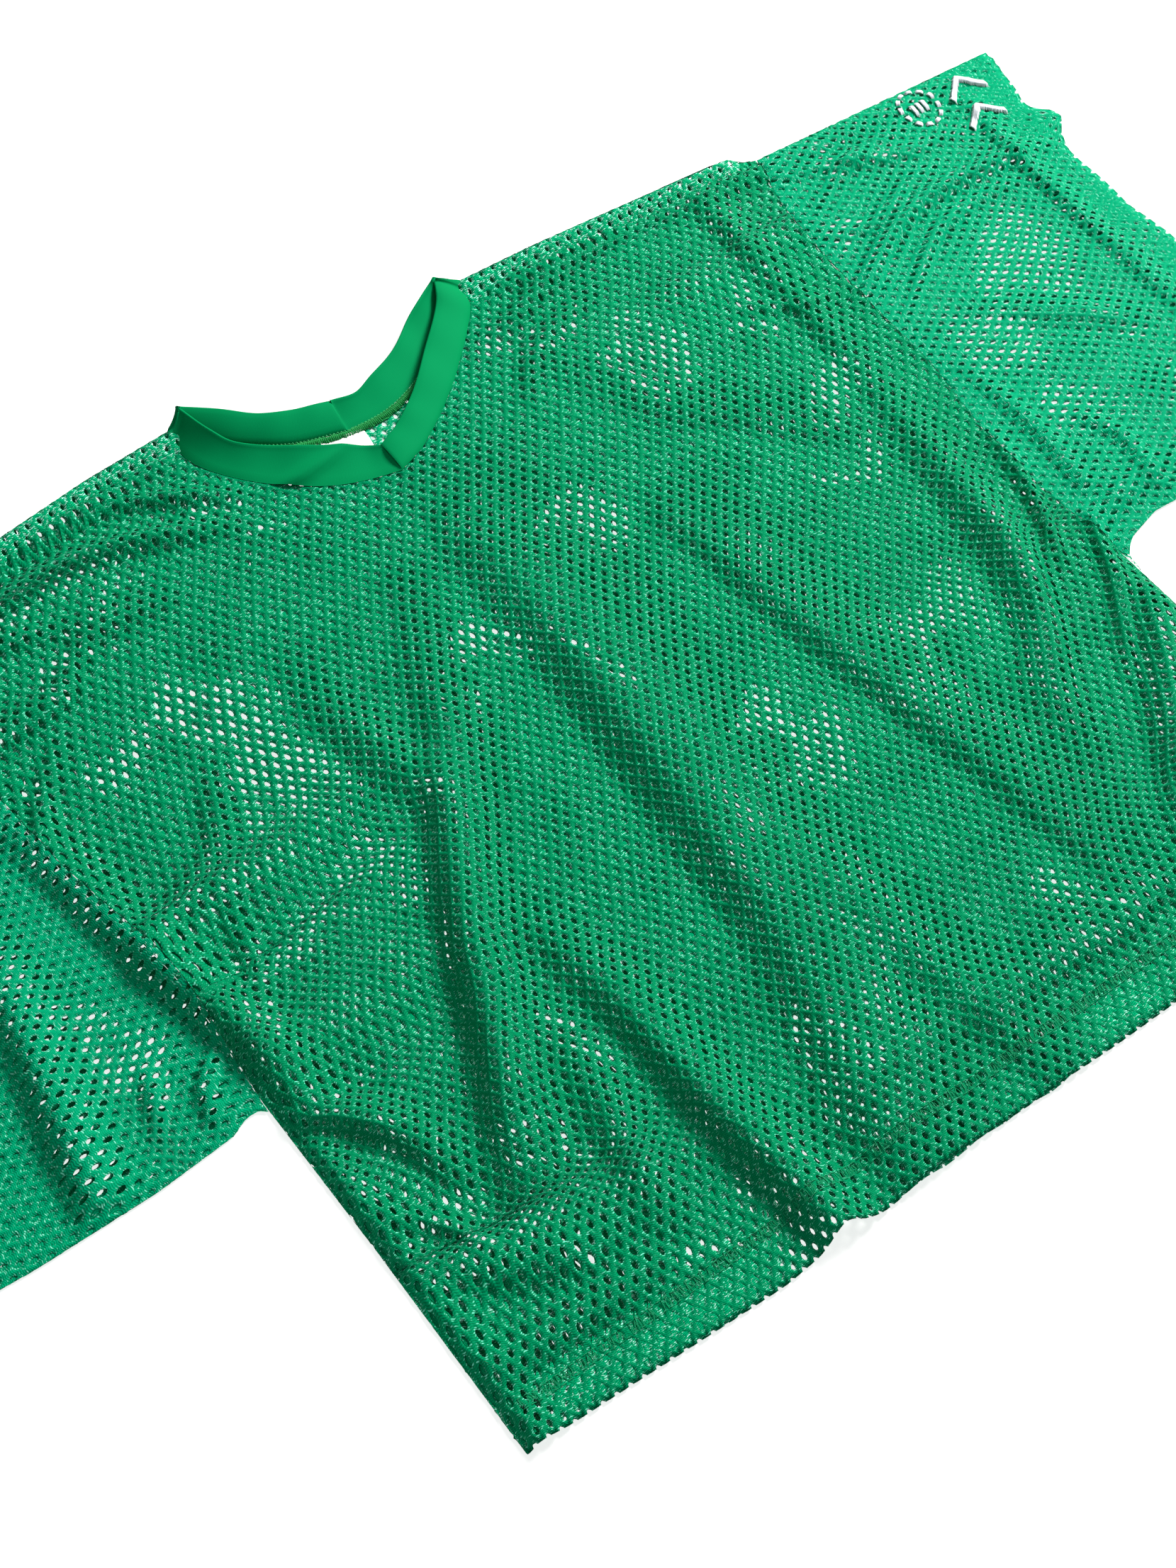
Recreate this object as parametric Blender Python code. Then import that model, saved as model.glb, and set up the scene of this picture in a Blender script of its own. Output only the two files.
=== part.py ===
"""Cropped porthole-mesh jersey, laid flat on its back on a level surface.

Each cut piece is its own closed solid. Plan positions are measured from the bottom point of the V neck:
+X towards the wearer's left side, +Y towards the neck, +Z up from the surface. At the end every piece is
moved so that the origin is the centre of the jersey's footprint on the surface.
"""

import math

import bmesh
import bpy
from mathutils import Vector
from mathutils.geometry import delaunay_2d_cdt

# Driving dimensions, in metres.
CLOTH = 0.0010                    # wall of one layer of mesh
GAP = 0.0003                      # air between pieces that touch
HEM_Y = -0.515
SIDE_X = 0.293                    # side seams, each way from the centre front
CUFF_TOP = (0.502, 0.056)         # cuff end of the sleeve's top fold
CUFF_LOW = (0.492, -0.288)        # cuff end of the underarm seam
CUFF_DRAW = 0.009                 # how far the front of a cuff draws back from the back of it

FRONT_SEAT = CLOTH + GAP          # underside of the front layer where it rests on the back layer
REST_LOFT = 0.0012                # more air between the layers, away from the seams
EDGE_EASE = 0.014                 # width over which the front layer comes down to a seam or fold
SLOPE_REACH = 0.002               # half the span over which the front's slope is taken

MESH_STEP = 0.021                 # spacing of the points that shape the front panel
FOLD_STEP = 0.020                 # spacing of its points along a fold's crest
FOLD_ROOM = 0.45 * MESH_STEP      # least distance from a fold's point to the points before it
GRID_ROOM = 0.72 * MESH_STEP      # the same for a point of the grid between the folds
RIM_ROOM = 0.6                    # share of that distance kept to the panel's outline
SLEEVE_STATIONS = 9               # sections of a sleeve from armhole to cuff

COLLAR_WALL = 0.0020              # two layers of rib
CURVE_STEPS = 3                   # pieces between two rows of a table
SHARP_FROM = math.radians(50)     # edges that turn more than this are shaded sharp

LABEL_SIZE = (0.038, 0.025)
LABEL_TOP_RIGHT = (0.0, 0.0388)
LABEL_TURN = math.radians(-13)    # the label hangs square to the back neck seam
LABEL_WALL = 0.0010

# Finishes: base colour and roughness.
BODY_MESH = ((0.0, 0.376, 0.141, 1.0), 0.55)
SLEEVE_MESH = ((0.01, 0.42, 0.18, 1.0), 0.55)
NECK_RIB = ((0.0, 0.262, 0.080, 1.0), 0.8)
WHITE_SATIN = ((0.85, 0.85, 0.83, 1.0), 0.5)

# Armhole seam on the wearer's left, from the armpit to the shoulder fold: x, y. The right mirrors it.
ARMHOLE = ((0.293, -0.284), (0.288, -0.222), (0.289, -0.180), (0.299, -0.115), (0.302, -0.045),
           (0.309, 0.025), (0.322, 0.071))

# Neck seam and the neckband's folded edge. Each row: seam x, seam y, edge x, edge y, edge z.
# The first row is at the centre front, the last of each front half is at the shoulder.
NECK_FRONT_RIGHT = (
    (0.000, 0.000, -0.0010, 0.0192, 0.0060),
    (-0.034, 0.0125, -0.0206, 0.0314, 0.0088),
    (-0.061, 0.032, -0.0463, 0.0471, 0.0114),
    (-0.081, 0.054, -0.0686, 0.0647, 0.0130),
    (-0.093, 0.076, -0.0777, 0.0800, 0.0165),
    (-0.094, 0.098, -0.0850, 0.1022, 0.0205),
)
NECK_BACK_RIGHT = (
    (-0.094, 0.098, -0.0850, 0.1022, 0.0205),
    (-0.078, 0.084, -0.0657, 0.0905, 0.0160),
    (-0.059, 0.067, -0.0474, 0.0760, 0.0130),
    (-0.038, 0.053, -0.0291, 0.0673, 0.0115),
    (-0.008, 0.043, -0.0073, 0.0605, 0.0110),
)
NECK_FRONT_LEFT = (
    (0.000, 0.000, -0.0010, 0.0192, 0.0060),
    (0.021, 0.008, 0.0150, 0.0252, 0.0090),
    (0.048, 0.025, 0.0356, 0.0380, 0.0110),
    (0.070, 0.042, 0.0589, 0.0583, 0.0124),
    (0.094, 0.064, 0.0826, 0.0795, 0.0140),
    (0.107, 0.079, 0.0903, 0.0905, 0.0170),
    (0.110, 0.093, 0.0930, 0.0965, 0.0200),
)
NECK_BACK_LEFT = (
    (0.110, 0.093, 0.0930, 0.0965, 0.0200),
    (0.080, 0.072, 0.0688, 0.0850, 0.0155),
    (0.052, 0.054, 0.0446, 0.0700, 0.0120),
    (0.030, 0.045, 0.0226, 0.0619, 0.0112),
    (0.012, 0.042, 0.0082, 0.0575, 0.0105),
    (-0.008, 0.043, -0.0073, 0.0605, 0.0110),
)

# Folds of the front layer. Each row: name, crest as (x, y, height), and its width to the left and to the right
# of someone who walks the crest from its first point to its last.
FOLDS = (
    ("centre", ((0.015, -0.030, 0.002), (0.021, -0.100, 0.006), (0.010, -0.160, 0.010),
                (0.000, -0.220, 0.013), (-0.007, -0.285, 0.013), (-0.013, -0.345, 0.011),
                (-0.022, -0.405, 0.009), (-0.029, -0.460, 0.008), (-0.034, -0.520, 0.005)), 0.090, 0.027),
    ("right_sweep", ((-0.060, -0.065, 0.002), (-0.088, -0.135, 0.006), (-0.112, -0.200, 0.009),
                     (-0.140, -0.262, 0.013), (-0.172, -0.320, 0.015), (-0.205, -0.374, 0.012),
                     (-0.232, -0.405, 0.003)), 0.040, 0.024),
    ("hem_flip", ((-0.092, -0.265, 0.001), (-0.098, -0.320, 0.006), (-0.103, -0.370, 0.009),
                  (-0.104, -0.415, 0.011), (-0.103, -0.455, 0.014), (-0.108, -0.490, 0.018),
                  (-0.112, -0.530, 0.020)), 0.045, 0.026),
    ("between", ((-0.145, -0.310, 0.002), (-0.150, -0.360, 0.005), (-0.163, -0.410, 0.006),
                 (-0.178, -0.455, 0.003)), 0.030, 0.030),
    ("left_sweep", ((0.113, -0.120, 0.002), (0.118, -0.190, 0.005), (0.131, -0.270, 0.009),
                    (0.137, -0.320, 0.009), (0.140, -0.360, 0.006), (0.146, -0.395, 0.002)), 0.060, 0.024),
    ("armhole_left", ((0.282, -0.110, 0.002), (0.272, -0.170, 0.007), (0.255, -0.225, 0.009),
                      (0.240, -0.265, 0.008), (0.218, -0.305, 0.006), (0.200, -0.345, 0.002)), 0.030, 0.026),
    ("underarm_left", ((0.287, -0.310, 0.003), (0.268, -0.360, 0.008), (0.240, -0.415, 0.008),
                       (0.214, -0.455, 0.003)), 0.040, 0.022),
    ("underarm_right", ((-0.280, -0.300, 0.003), (-0.256, -0.320, 0.008), (-0.238, -0.350, 0.007),
                        (-0.229, -0.385, 0.003)), 0.030, 0.018),
    ("corner_right", ((-0.262, -0.415, 0.002), (-0.222, -0.432, 0.005), (-0.190, -0.437, 0.005),
                      (-0.165, -0.430, 0.002)), 0.030, 0.015),
    ("hem_left", ((0.040, -0.370, 0.002), (0.040, -0.420, 0.004), (0.042, -0.465, 0.004),
                  (0.045, -0.510, 0.002)), 0.050, 0.024),
    ("yoke_right", ((-0.255, 0.050, 0.002), (-0.234, 0.055, 0.005), (-0.190, 0.062, 0.006),
                    (-0.150, 0.058, 0.006), (-0.120, 0.044, 0.005), (-0.095, 0.032, 0.002)), 0.016, 0.019),
    ("chest_right", ((-0.300, -0.030, 0.002), (-0.255, -0.010, 0.005), (-0.215, -0.004, 0.005),
                     (-0.190, 0.012, 0.004), (-0.170, 0.030, 0.002)), 0.024, 0.017),
    ("side_right", ((-0.290, -0.158, 0.002), (-0.250, -0.146, 0.004), (-0.222, -0.132, 0.002)), 0.020, 0.015),
    ("yoke_left", ((0.118, 0.060, 0.002), (0.150, 0.070, 0.005), (0.190, 0.070, 0.004),
                   (0.240, 0.064, 0.002)), 0.016, 0.014),
    ("chest_left", ((0.130, -0.010, 0.001), (0.170, -0.048, 0.003), (0.208, -0.092, 0.004),
                    (0.232, -0.130, 0.001)), 0.050, 0.028),
    ("shoulder_left", ((0.268, 0.062, 0.001), (0.290, 0.036, 0.005), (0.300, 0.005, 0.004),
                       (0.300, -0.040, 0.002)), 0.022, 0.018),
    ("sleeve_left_top", ((0.310, -0.040, 0.002), (0.366, -0.010, 0.005), (0.425, 0.018, 0.006),
                         (0.475, 0.020, 0.002)), 0.014, 0.014),
    ("sleeve_left_low", ((0.305, -0.258, 0.002), (0.350, -0.245, 0.004), (0.405, -0.242, 0.001)),
     0.018, 0.018),
    ("sleeve_right_mid", ((-0.362, -0.180, 0.002), (-0.365, -0.230, 0.006), (-0.374, -0.272, 0.003)),
     0.024, 0.018),
    ("roll_right", ((-0.112, 0.088, 0.003), (-0.220, 0.076, 0.005), (-0.310, 0.064, 0.004),
                    (-0.400, 0.056, 0.003), (-0.495, 0.049, 0.002)), 0.012, 0.012),
    ("roll_left", ((0.125, 0.083, 0.003), (0.220, 0.074, 0.006), (0.310, 0.064, 0.005),
                   (0.400, 0.056, 0.003), (0.495, 0.049, 0.002)), 0.012, 0.012),
)


def smooth(t):
    """0 to 1 with level ends."""
    t = min(max(t, 0.0), 1.0)
    return t * t * (3.0 - 2.0 * t)


def curve_through(rows):
    """A Catmull-Rom curve through rows of numbers, as a list of vectors."""
    rows = [Vector(row) for row in rows]
    curve = []
    for i in range(len(rows) - 1):
        start, end = rows[i], rows[i + 1]
        before = rows[i - 1] if i else 2 * start - end
        after = rows[i + 2] if i + 2 < len(rows) else 2 * end - start
        for k in range(CURVE_STEPS):
            t = k / CURVE_STEPS
            curve.append(0.5 * (2 * start + (end - before) * t
                                + (2 * before - 5 * start + 4 * end - after) * t ** 2
                                + (3 * start - before - 3 * end + after) * t ** 3))
    return curve + [rows[-1]]


def beside(x, y, start, end):
    """Distance to a segment in plan, place along it from 0 to 1, and the side: 1 square to the walker's
    left, 0 straight past an end, -1 square to the right."""
    dx, dy = end[0] - start[0], end[1] - start[1]
    along = ((x - start[0]) * dx + (y - start[1]) * dy) / (dx * dx + dy * dy)
    along = min(max(along, 0.0), 1.0)
    off_x, off_y = x - start[0] - along * dx, y - start[1] - along * dy
    far = math.hypot(off_x, off_y)
    return far, along, (dx * off_y - dy * off_x) / max(far * math.hypot(dx, dy), 1e-12)


CRESTS = [(curve_through(crest), left, right) for _, crest, left, right in FOLDS]
ARMHOLE_SEAM = curve_through(ARMHOLE)


def closed_edges():
    """Seams and folds that hold the front layer to the back layer, as segments in plan."""
    segments = []
    for side, neck in ((1, NECK_BACK_LEFT[0]), (-1, NECK_BACK_RIGHT[0])):
        tip = (side * ARMHOLE[-1][0], ARMHOLE[-1][1])
        pit = (side * SIDE_X, ARMHOLE[0][1])
        segments += [(neck[:2], tip), (tip, (side * CUFF_TOP[0], CUFF_TOP[1]))]
        segments += [((side * SIDE_X, HEM_Y), pit), (pit, (side * CUFF_LOW[0], CUFF_LOW[1]))]
    return segments


CLOSED_EDGES = closed_edges()


def loft(x, y):
    """Height of the front layer's underside over its resting height."""
    height = REST_LOFT
    for crest, left, right in CRESTS:
        nearest = None
        for start, end in zip(crest, crest[1:]):
            far, along, side = beside(x, y, start, end)
            if nearest is None or far < nearest[0]:
                width = right + (left - right) * (1.0 + side) / 2
                nearest = (far, start[2] + along * (end[2] - start[2]), width)
        far, crest_height, width = nearest
        if far < width:
            height += crest_height * 0.5 * (1.0 + math.cos(math.pi * far / width))
    edge = min(beside(x, y, start, end)[0] for start, end in CLOSED_EDGES)
    return height * smooth(edge / EDGE_EASE)


def front_under(x, y):
    """Underside of the front layer."""
    return Vector((x, y, FRONT_SEAT + loft(x, y)))


def front_top(x, y):
    """Upper face of the front layer, one wall away square to the cloth."""
    reach = SLOPE_REACH
    rise_x = (loft(x + reach, y) - loft(x - reach, y)) / (2 * reach)
    rise_y = (loft(x, y + reach) - loft(x, y - reach)) / (2 * reach)
    return front_under(x, y) + Vector((0, 0, CLOTH * math.sqrt(1 + rise_x ** 2 + rise_y ** 2)))


def add_solid(name, points, faces, finish):
    """A closed mesh with its faces out, smooth-shaded, with its own material."""
    mesh = bpy.data.meshes.new(name)
    mesh.from_pydata(points, [], faces)
    shape = bmesh.new()
    shape.from_mesh(mesh)
    bmesh.ops.recalc_face_normals(shape, faces=shape.faces)
    shape.to_mesh(mesh)
    shape.free()
    mesh.shade_smooth()
    mesh.set_sharp_from_angle(angle=SHARP_FROM)
    material = bpy.data.materials.new(name)
    material.use_nodes = True
    shader = material.node_tree.nodes["Principled BSDF"]
    shader.inputs["Base Color"].default_value, shader.inputs["Roughness"].default_value = finish
    mesh.materials.append(material)
    thing = bpy.data.objects.new(name, mesh)
    bpy.context.collection.objects.link(thing)
    return thing


def divided(outline):
    """The outline with more points where two lie further apart than the mesh step."""
    points = []
    for start, end in zip(outline, outline[1:] + outline[:1]):
        pieces = max(1, round(math.dist(start, end) / MESH_STEP))
        points += [start.lerp(end, k / pieces) for k in range(pieces)]
    return points


def body_outline(neck):
    """Plan outline of a body panel, counter-clockwise; the neck runs from the left shoulder to the right."""
    left = [Vector((SIDE_X, HEM_Y))] + ARMHOLE_SEAM
    right = [Vector((-p.x, p.y)) for p in reversed(left)]
    return divided(left + [Vector(p[:2]) for p in neck] + right)


def is_inside(x, y, outline):
    """True where the point lies inside the outline."""
    odd = False
    for start, end in zip(outline, outline[1:] + outline[:1]):
        if (start.y > y) != (end.y > y):
            if x < start.x + (y - start.y) * (end.x - start.x) / (end.y - start.y):
                odd = not odd
    return odd


def shaping_points(outline):
    """Points inside a panel: the folds' crests, flanks and feet first, then a staggered grid between them."""
    chosen = []

    def keep(x, y, room):
        if not is_inside(x, y, outline):
            return
        edge = min(beside(x, y, start, end)[0] for start, end in zip(outline, outline[1:] + outline[:1]))
        if edge > RIM_ROOM * room and all(math.hypot(x - p.x, y - p.y) > room for p in chosen):
            chosen.append(Vector((x, y)))

    for crest, left, right in CRESTS:
        length = sum((end - start).length for start, end in zip(crest, crest[1:]))
        stations = max(2, round(length / FOLD_STEP))
        for k in range(stations + 1):
            place = k / stations * (len(crest) - 1)
            piece = min(int(place), len(crest) - 2)
            start, end = crest[piece], crest[piece + 1]
            here = start.lerp(end, place - piece)
            way = (end - start).xy.normalized()
            for offset in (0.0, 0.5 * left, -0.5 * right, left, -right):
                keep(here.x - way.y * offset, here.y + way.x * offset, FOLD_ROOM)
    row_step = MESH_STEP * math.sin(math.radians(60))
    columns = round(max(p.x for p in outline) / MESH_STEP)
    for row in range(round((max(p.y for p in outline) - HEM_Y) / row_step)):
        for column in range(-columns, columns + 1):
            keep((column + 0.5 * (row % 2)) * MESH_STEP, HEM_Y + (row + 0.5) * row_step, GRID_ROOM)
    return chosen


def panel(name, outline, shaping, under, top):
    """A wall whose plan is the outline, triangulated through the shaping points."""
    points, _, faces, came_from, _, _ = delaunay_2d_cdt(
        outline + shaping, [], [list(range(len(outline)))], 1, 1e-6)
    place = {old: new for new, olds in enumerate(came_from) for old in olds}
    rim = [place[i] for i in range(len(outline))]
    count = len(points)
    solid = [top(p.x, p.y) for p in points] + [under(p.x, p.y) for p in points]
    skin = [tuple(face) for face in faces]
    skin += [tuple(count + v for v in reversed(face)) for face in faces]
    skin += [(a, count + a, count + b, b) for a, b in zip(rim, rim[1:] + rim[:1])]
    return add_solid(name, solid, skin, BODY_MESH)


def body_panels():
    """The front over the back, both from hem to shoulders."""
    front_neck = curve_through(NECK_FRONT_LEFT)[::-1] + curve_through(NECK_FRONT_RIGHT)[1:]
    back_neck = curve_through(NECK_BACK_LEFT) + curve_through(NECK_BACK_RIGHT)[-2::-1]
    outline = body_outline(front_neck)
    panel("front_panel", outline, shaping_points(outline), front_under, front_top)
    panel("back_panel", body_outline(back_neck), [],
          lambda x, y: Vector((x, y, 0.0)), lambda x, y: Vector((x, y, CLOTH)))


def sleeve(name, side):
    """A tube pressed flat: outer and inner rings from the armhole to the cuff, joined at both ends."""
    mirror = Vector((side, 1.0))
    armhole = [Vector((p.x + GAP, p.y)) * mirror for p in ARMHOLE_SEAM]
    places = [(p.y - ARMHOLE[0][1]) / (ARMHOLE[-1][1] - ARMHOLE[0][1]) for p in ARMHOLE_SEAM]
    cuff_back = [Vector(CUFF_LOW).lerp(Vector(CUFF_TOP), place) * mirror for place in places]
    cuff_front = [p - Vector((side * CUFF_DRAW * math.sin(math.pi * place), 0.0))
                  for p, place in zip(cuff_back, places)]
    rings = []
    for station in range(SLEEVE_STATIONS):
        along = station / (SLEEVE_STATIONS - 1)
        back = [start.lerp(end, along) for start, end in zip(armhole, cuff_back)]
        front = [start.lerp(end, along) for start, end in zip(armhole, cuff_front)]
        wall = (back[-1] - back[0]).normalized() * CLOTH
        ring = [Vector((p.x, p.y, 0.0)) for p in back] + [front_top(p.x, p.y) for p in reversed(front)]
        for line in (back, front):
            line[0] += wall
            line[-1] -= wall
        ring += [Vector((p.x, p.y, CLOTH)) for p in back] + [front_under(p.x, p.y) for p in reversed(front)]
        rings.append(ring)
    size = len(rings[0])
    loop = size // 2
    skin = []
    for i in range(SLEEVE_STATIONS - 1):
        for base in (0, loop):
            for k in range(loop):
                a, b = i * size + base + k, i * size + base + (k + 1) % loop
                skin.append((a, b, b + size, a + size))
    for first in (0, (SLEEVE_STATIONS - 1) * size):
        for k in range(loop):
            a, b = first + k, first + (k + 1) % loop
            skin.append((a, b, b + loop, a + loop))
    return add_solid(name, [p for ring in rings for p in ring], skin, SLEEVE_MESH)


def collar_half(name, front_rows, back_rows, side):
    """A doubled strip that stands on the neck seam, from the mitre round a shoulder to the back seam."""
    front, back = curve_through(front_rows), curve_through(back_rows)
    stations = front + back[1:]
    last = len(stations) - 1
    ways = [Vector((end[0] - start[0], end[1] - start[1], 0.0)).normalized()
            for start, end in zip(stations, stations[1:])]
    solid = []
    for i, row in enumerate(stations):
        way = (ways[max(i - 1, 0)] + ways[min(i, last - 1)]).normalized()
        clear = Vector((0.0, 0.0, 0.0))
        if i in (0, last):
            way = Vector((side if i == 0 else -side, 0.0, 0.0))
            clear.x = side * GAP / 2
        panel_top = CLOTH
        if i < len(front):
            panel_top = front_top(row[0], row[1]).z
        seam = Vector((row[0], row[1], panel_top))
        fold = Vector(row[2:])
        rise = (fold - seam).normalized()
        foot = seam + (rise - way * rise.dot(way)).normalized() * GAP
        out = way.cross(rise).normalized() * (COLLAR_WALL / 2)
        section = (foot + out, fold + out, fold + rise * (COLLAR_WALL / 2), fold - out, foot - out)
        solid += [point + clear for point in section]
    ring = 5
    skin = [tuple(range(ring)), tuple(last * ring + k for k in range(ring))]
    for i in range(last):
        for k in range(ring):
            a, b = i * ring + k, i * ring + (k + 1) % ring
            skin.append((a, b, b + ring, a + ring))
    return add_solid(name, solid, skin, NECK_RIB)


def neck_label():
    """A small woven label on the back panel, hanging from the back neck seam."""
    width, height = LABEL_SIZE
    across = Vector((math.cos(LABEL_TURN), math.sin(LABEL_TURN)))
    down = Vector((across.y, -across.x))
    corner = Vector(LABEL_TOP_RIGHT)
    plan = [corner, corner - across * width, corner - across * width + down * height, corner + down * height]
    low = CLOTH + GAP
    points = [Vector((p.x, p.y, z)) for z in (low, low + LABEL_WALL) for p in plan]
    skin = [(0, 1, 2, 3), (4, 5, 6, 7)] + [(k, (k + 1) % 4, 4 + (k + 1) % 4, 4 + k) for k in range(4)]
    return add_solid("neck_label", points, skin, WHITE_SATIN)


def centre_on_footprint():
    """Move every piece so that the origin is the middle of the jersey's footprint."""
    corners = [v.co for thing in bpy.data.objects for v in thing.data.vertices]
    middle = [(min(c[axis] for c in corners) + max(c[axis] for c in corners)) / 2 for axis in (0, 1)]
    for thing in bpy.data.objects:
        thing.location = (-middle[0], -middle[1], 0.0)


def main():
    for old in list(bpy.data.objects):
        bpy.data.objects.remove(old, do_unlink=True)
    body_panels()
    sleeve("sleeve_left", 1)
    sleeve("sleeve_right", -1)
    collar_half("collar_right", NECK_FRONT_RIGHT, NECK_BACK_RIGHT, -1)
    collar_half("collar_left", NECK_FRONT_LEFT, NECK_BACK_LEFT, 1)
    neck_label()
    centre_on_footprint()


main()
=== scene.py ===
"""Looks of the cropped porthole-mesh jersey, laid flat on its back.

Plan places are in the garment's own axes: x towards the wearer's left, y towards the neck, both in metres
from the bottom point of the V neck. The CAD frame is the same, moved along y; SHIFT holds that move. A layer
of mesh is made from its flat cut: real holes in rows, each with a rounded rim, bent over the folds so that
the cloth keeps its length.
"""

import copy
import math

import bpy
import numpy as np
from mathutils import Matrix, Vector


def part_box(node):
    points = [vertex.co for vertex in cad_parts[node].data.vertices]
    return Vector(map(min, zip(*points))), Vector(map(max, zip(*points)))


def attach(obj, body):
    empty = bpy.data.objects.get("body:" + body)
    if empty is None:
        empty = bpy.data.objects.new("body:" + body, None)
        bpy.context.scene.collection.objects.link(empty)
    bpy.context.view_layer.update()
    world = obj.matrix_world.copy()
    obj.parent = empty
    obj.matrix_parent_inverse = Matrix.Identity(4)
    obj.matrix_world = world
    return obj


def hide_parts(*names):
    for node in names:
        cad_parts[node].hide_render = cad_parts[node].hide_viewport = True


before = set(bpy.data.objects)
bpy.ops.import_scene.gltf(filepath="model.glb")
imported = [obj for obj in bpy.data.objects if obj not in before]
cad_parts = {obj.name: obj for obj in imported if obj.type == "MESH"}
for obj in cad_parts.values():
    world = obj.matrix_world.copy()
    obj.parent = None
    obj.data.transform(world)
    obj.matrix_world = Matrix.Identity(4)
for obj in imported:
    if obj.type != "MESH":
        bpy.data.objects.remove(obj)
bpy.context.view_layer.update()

# ---------------- the garment's sizes, as in its construction

REST_TOP = 0.0021                 # upper side of the front layer where it rests on the back layer
HEM_Y = -0.515
SIDE_X = 0.293
CUFF_TOP = (0.502, 0.056)
CUFF_LOW = (0.492, -0.288)
EDGE_EASE = 0.014                 # width over which the front layer comes down to a seam or fold
SIDE_EASE = 0.007                 # the same along the body's sides
HEM_CLEAR = 0.012                 # from the hem's fold to the end of the seam tape along the side
HEM_SPARE = 0.05                  # length below the hem from which the cut edge of the mesh is found
CURVE_STEPS = 6                   # pieces between two rows of a table
CREST_POWER = 1.25                # above 1, a fold's crest is tighter than its foot

SHIFT = np.array([0.0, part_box("back_panel")[0].y - HEM_Y, 0.0])

# Armhole seam on the wearer's left, from the armpit to the shoulder fold: x, y. The right mirrors it.
ARMHOLE = ((0.293, -0.284), (0.288, -0.222), (0.289, -0.180), (0.299, -0.115), (0.302, -0.045),
           (0.309, 0.025), (0.322, 0.071))

# Shoulder edge on each side, from the neck to the tip: x, y.
SHOULDER = {
    1: ((0.110, 0.093), (0.160, 0.0905), (0.220, 0.0850), (0.290, 0.0785), (0.312, 0.0755), (0.322, 0.071)),
    -1: ((-0.094, 0.098), (-0.150, 0.0955), (-0.220, 0.0880), (-0.290, 0.0790), (-0.312, 0.0755),
         (-0.322, 0.071)),
}
# Side fold of the body, and underarm edge of the sleeve, on each side: x, y.
SIDE = {
    1: ((0.293, HEM_Y), (0.293, -0.284)),
    -1: ((-0.2995, HEM_Y), (-0.2985, -0.480), (-0.295, -0.380), (-0.293, -0.284)),
}
UNDERARM = {
    1: ((0.2935, -0.305), (0.296, -0.290), (0.306, -0.2825), (0.330, -0.2765), (0.380, -0.2800), CUFF_LOW),
    -1: ((-0.2935, -0.290), (-0.300, -0.2840), (-0.315, -0.2905), (-0.360, -0.2935), (-0.430, -0.2925),
         (-CUFF_LOW[0], CUFF_LOW[1])),
}
SHOULDER_RISE = 0.0075            # height of the rolled shoulder edge, where both layers meet
SHOULDER_REACH = 0.016            # width over which the back layer rises to it
SHOULDER_END = 0.318              # x at which that rise has faded out, before the sleeve
SHOULDER_FADE = 0.020             # width over which it fades

# How far a cuff's edge lies in from the straight cuff line. Each row: place from the top fold to the
# underarm, from 0 to 1, then the front layer's and the back layer's distance.
CUFF_EDGE = {
    1: ((0.00, 0.000, 0.000), (0.09, 0.005, 0.008), (0.13, 0.009, 0.0095), (0.155, 0.0075, 0.002),
        (0.175, 0.007, -0.003), (0.195, 0.009, -0.001), (0.22, 0.011, 0.005), (0.26, 0.0125, 0.012),
        (0.30, 0.0135, 0.015), (0.37, 0.0122, 0.014), (0.43, 0.0130, 0.013), (0.47, 0.0112, 0.013),
        (0.52, 0.0088, 0.011), (0.56, 0.0085, 0.009), (0.69, 0.007, 0.003), (0.83, 0.009, 0.006),
        (0.93, 0.004, 0.003), (1.00, 0.000, 0.000)),
    -1: ((0.00, 0.000, 0.000), (0.10, 0.004, 0.007), (0.24, 0.010, 0.004), (0.40, 0.007, 0.000),
         (0.52, 0.011, 0.009), (0.66, 0.008, 0.011), (0.80, 0.004, 0.000), (1.00, 0.000, 0.000)),
}
CUFF_REACH = 0.11                 # how far up the sleeve that evens out
SLEEVE_LEAN = {1: 0.03, -1: -0.18}    # sideways lean of a sleeve's wales, from the cuff to the armhole
SLEEVE_TILT = {1: 0.0, -1: 0.15}      # lean of its rows, which fades out towards the cuff
TILT_REACH = 0.14

# How far the hem's fold lies below its straight line: x, the front layer's distance, the back layer's.
HEM_EDGE = ((-0.310, -0.0070, -0.0085), (-0.250, -0.0045, -0.0060), (-0.200, -0.0015, -0.0030),
            (-0.150, 0.0010, -0.0010), (-0.138, 0.0005, -0.0100), (-0.120, -0.0010, -0.0170),
            (-0.106, -0.0030, -0.0130), (-0.092, 0.0005, -0.0020), (-0.040, -0.0010, -0.0015),
            (0.050, 0.0010, 0.0), (0.120, 0.0015, 0.0), (0.200, 0.0, -0.0015), (0.310, -0.0030, -0.0040))
HEM_REACH = 0.09                  # how far up the body that evens out

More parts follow.
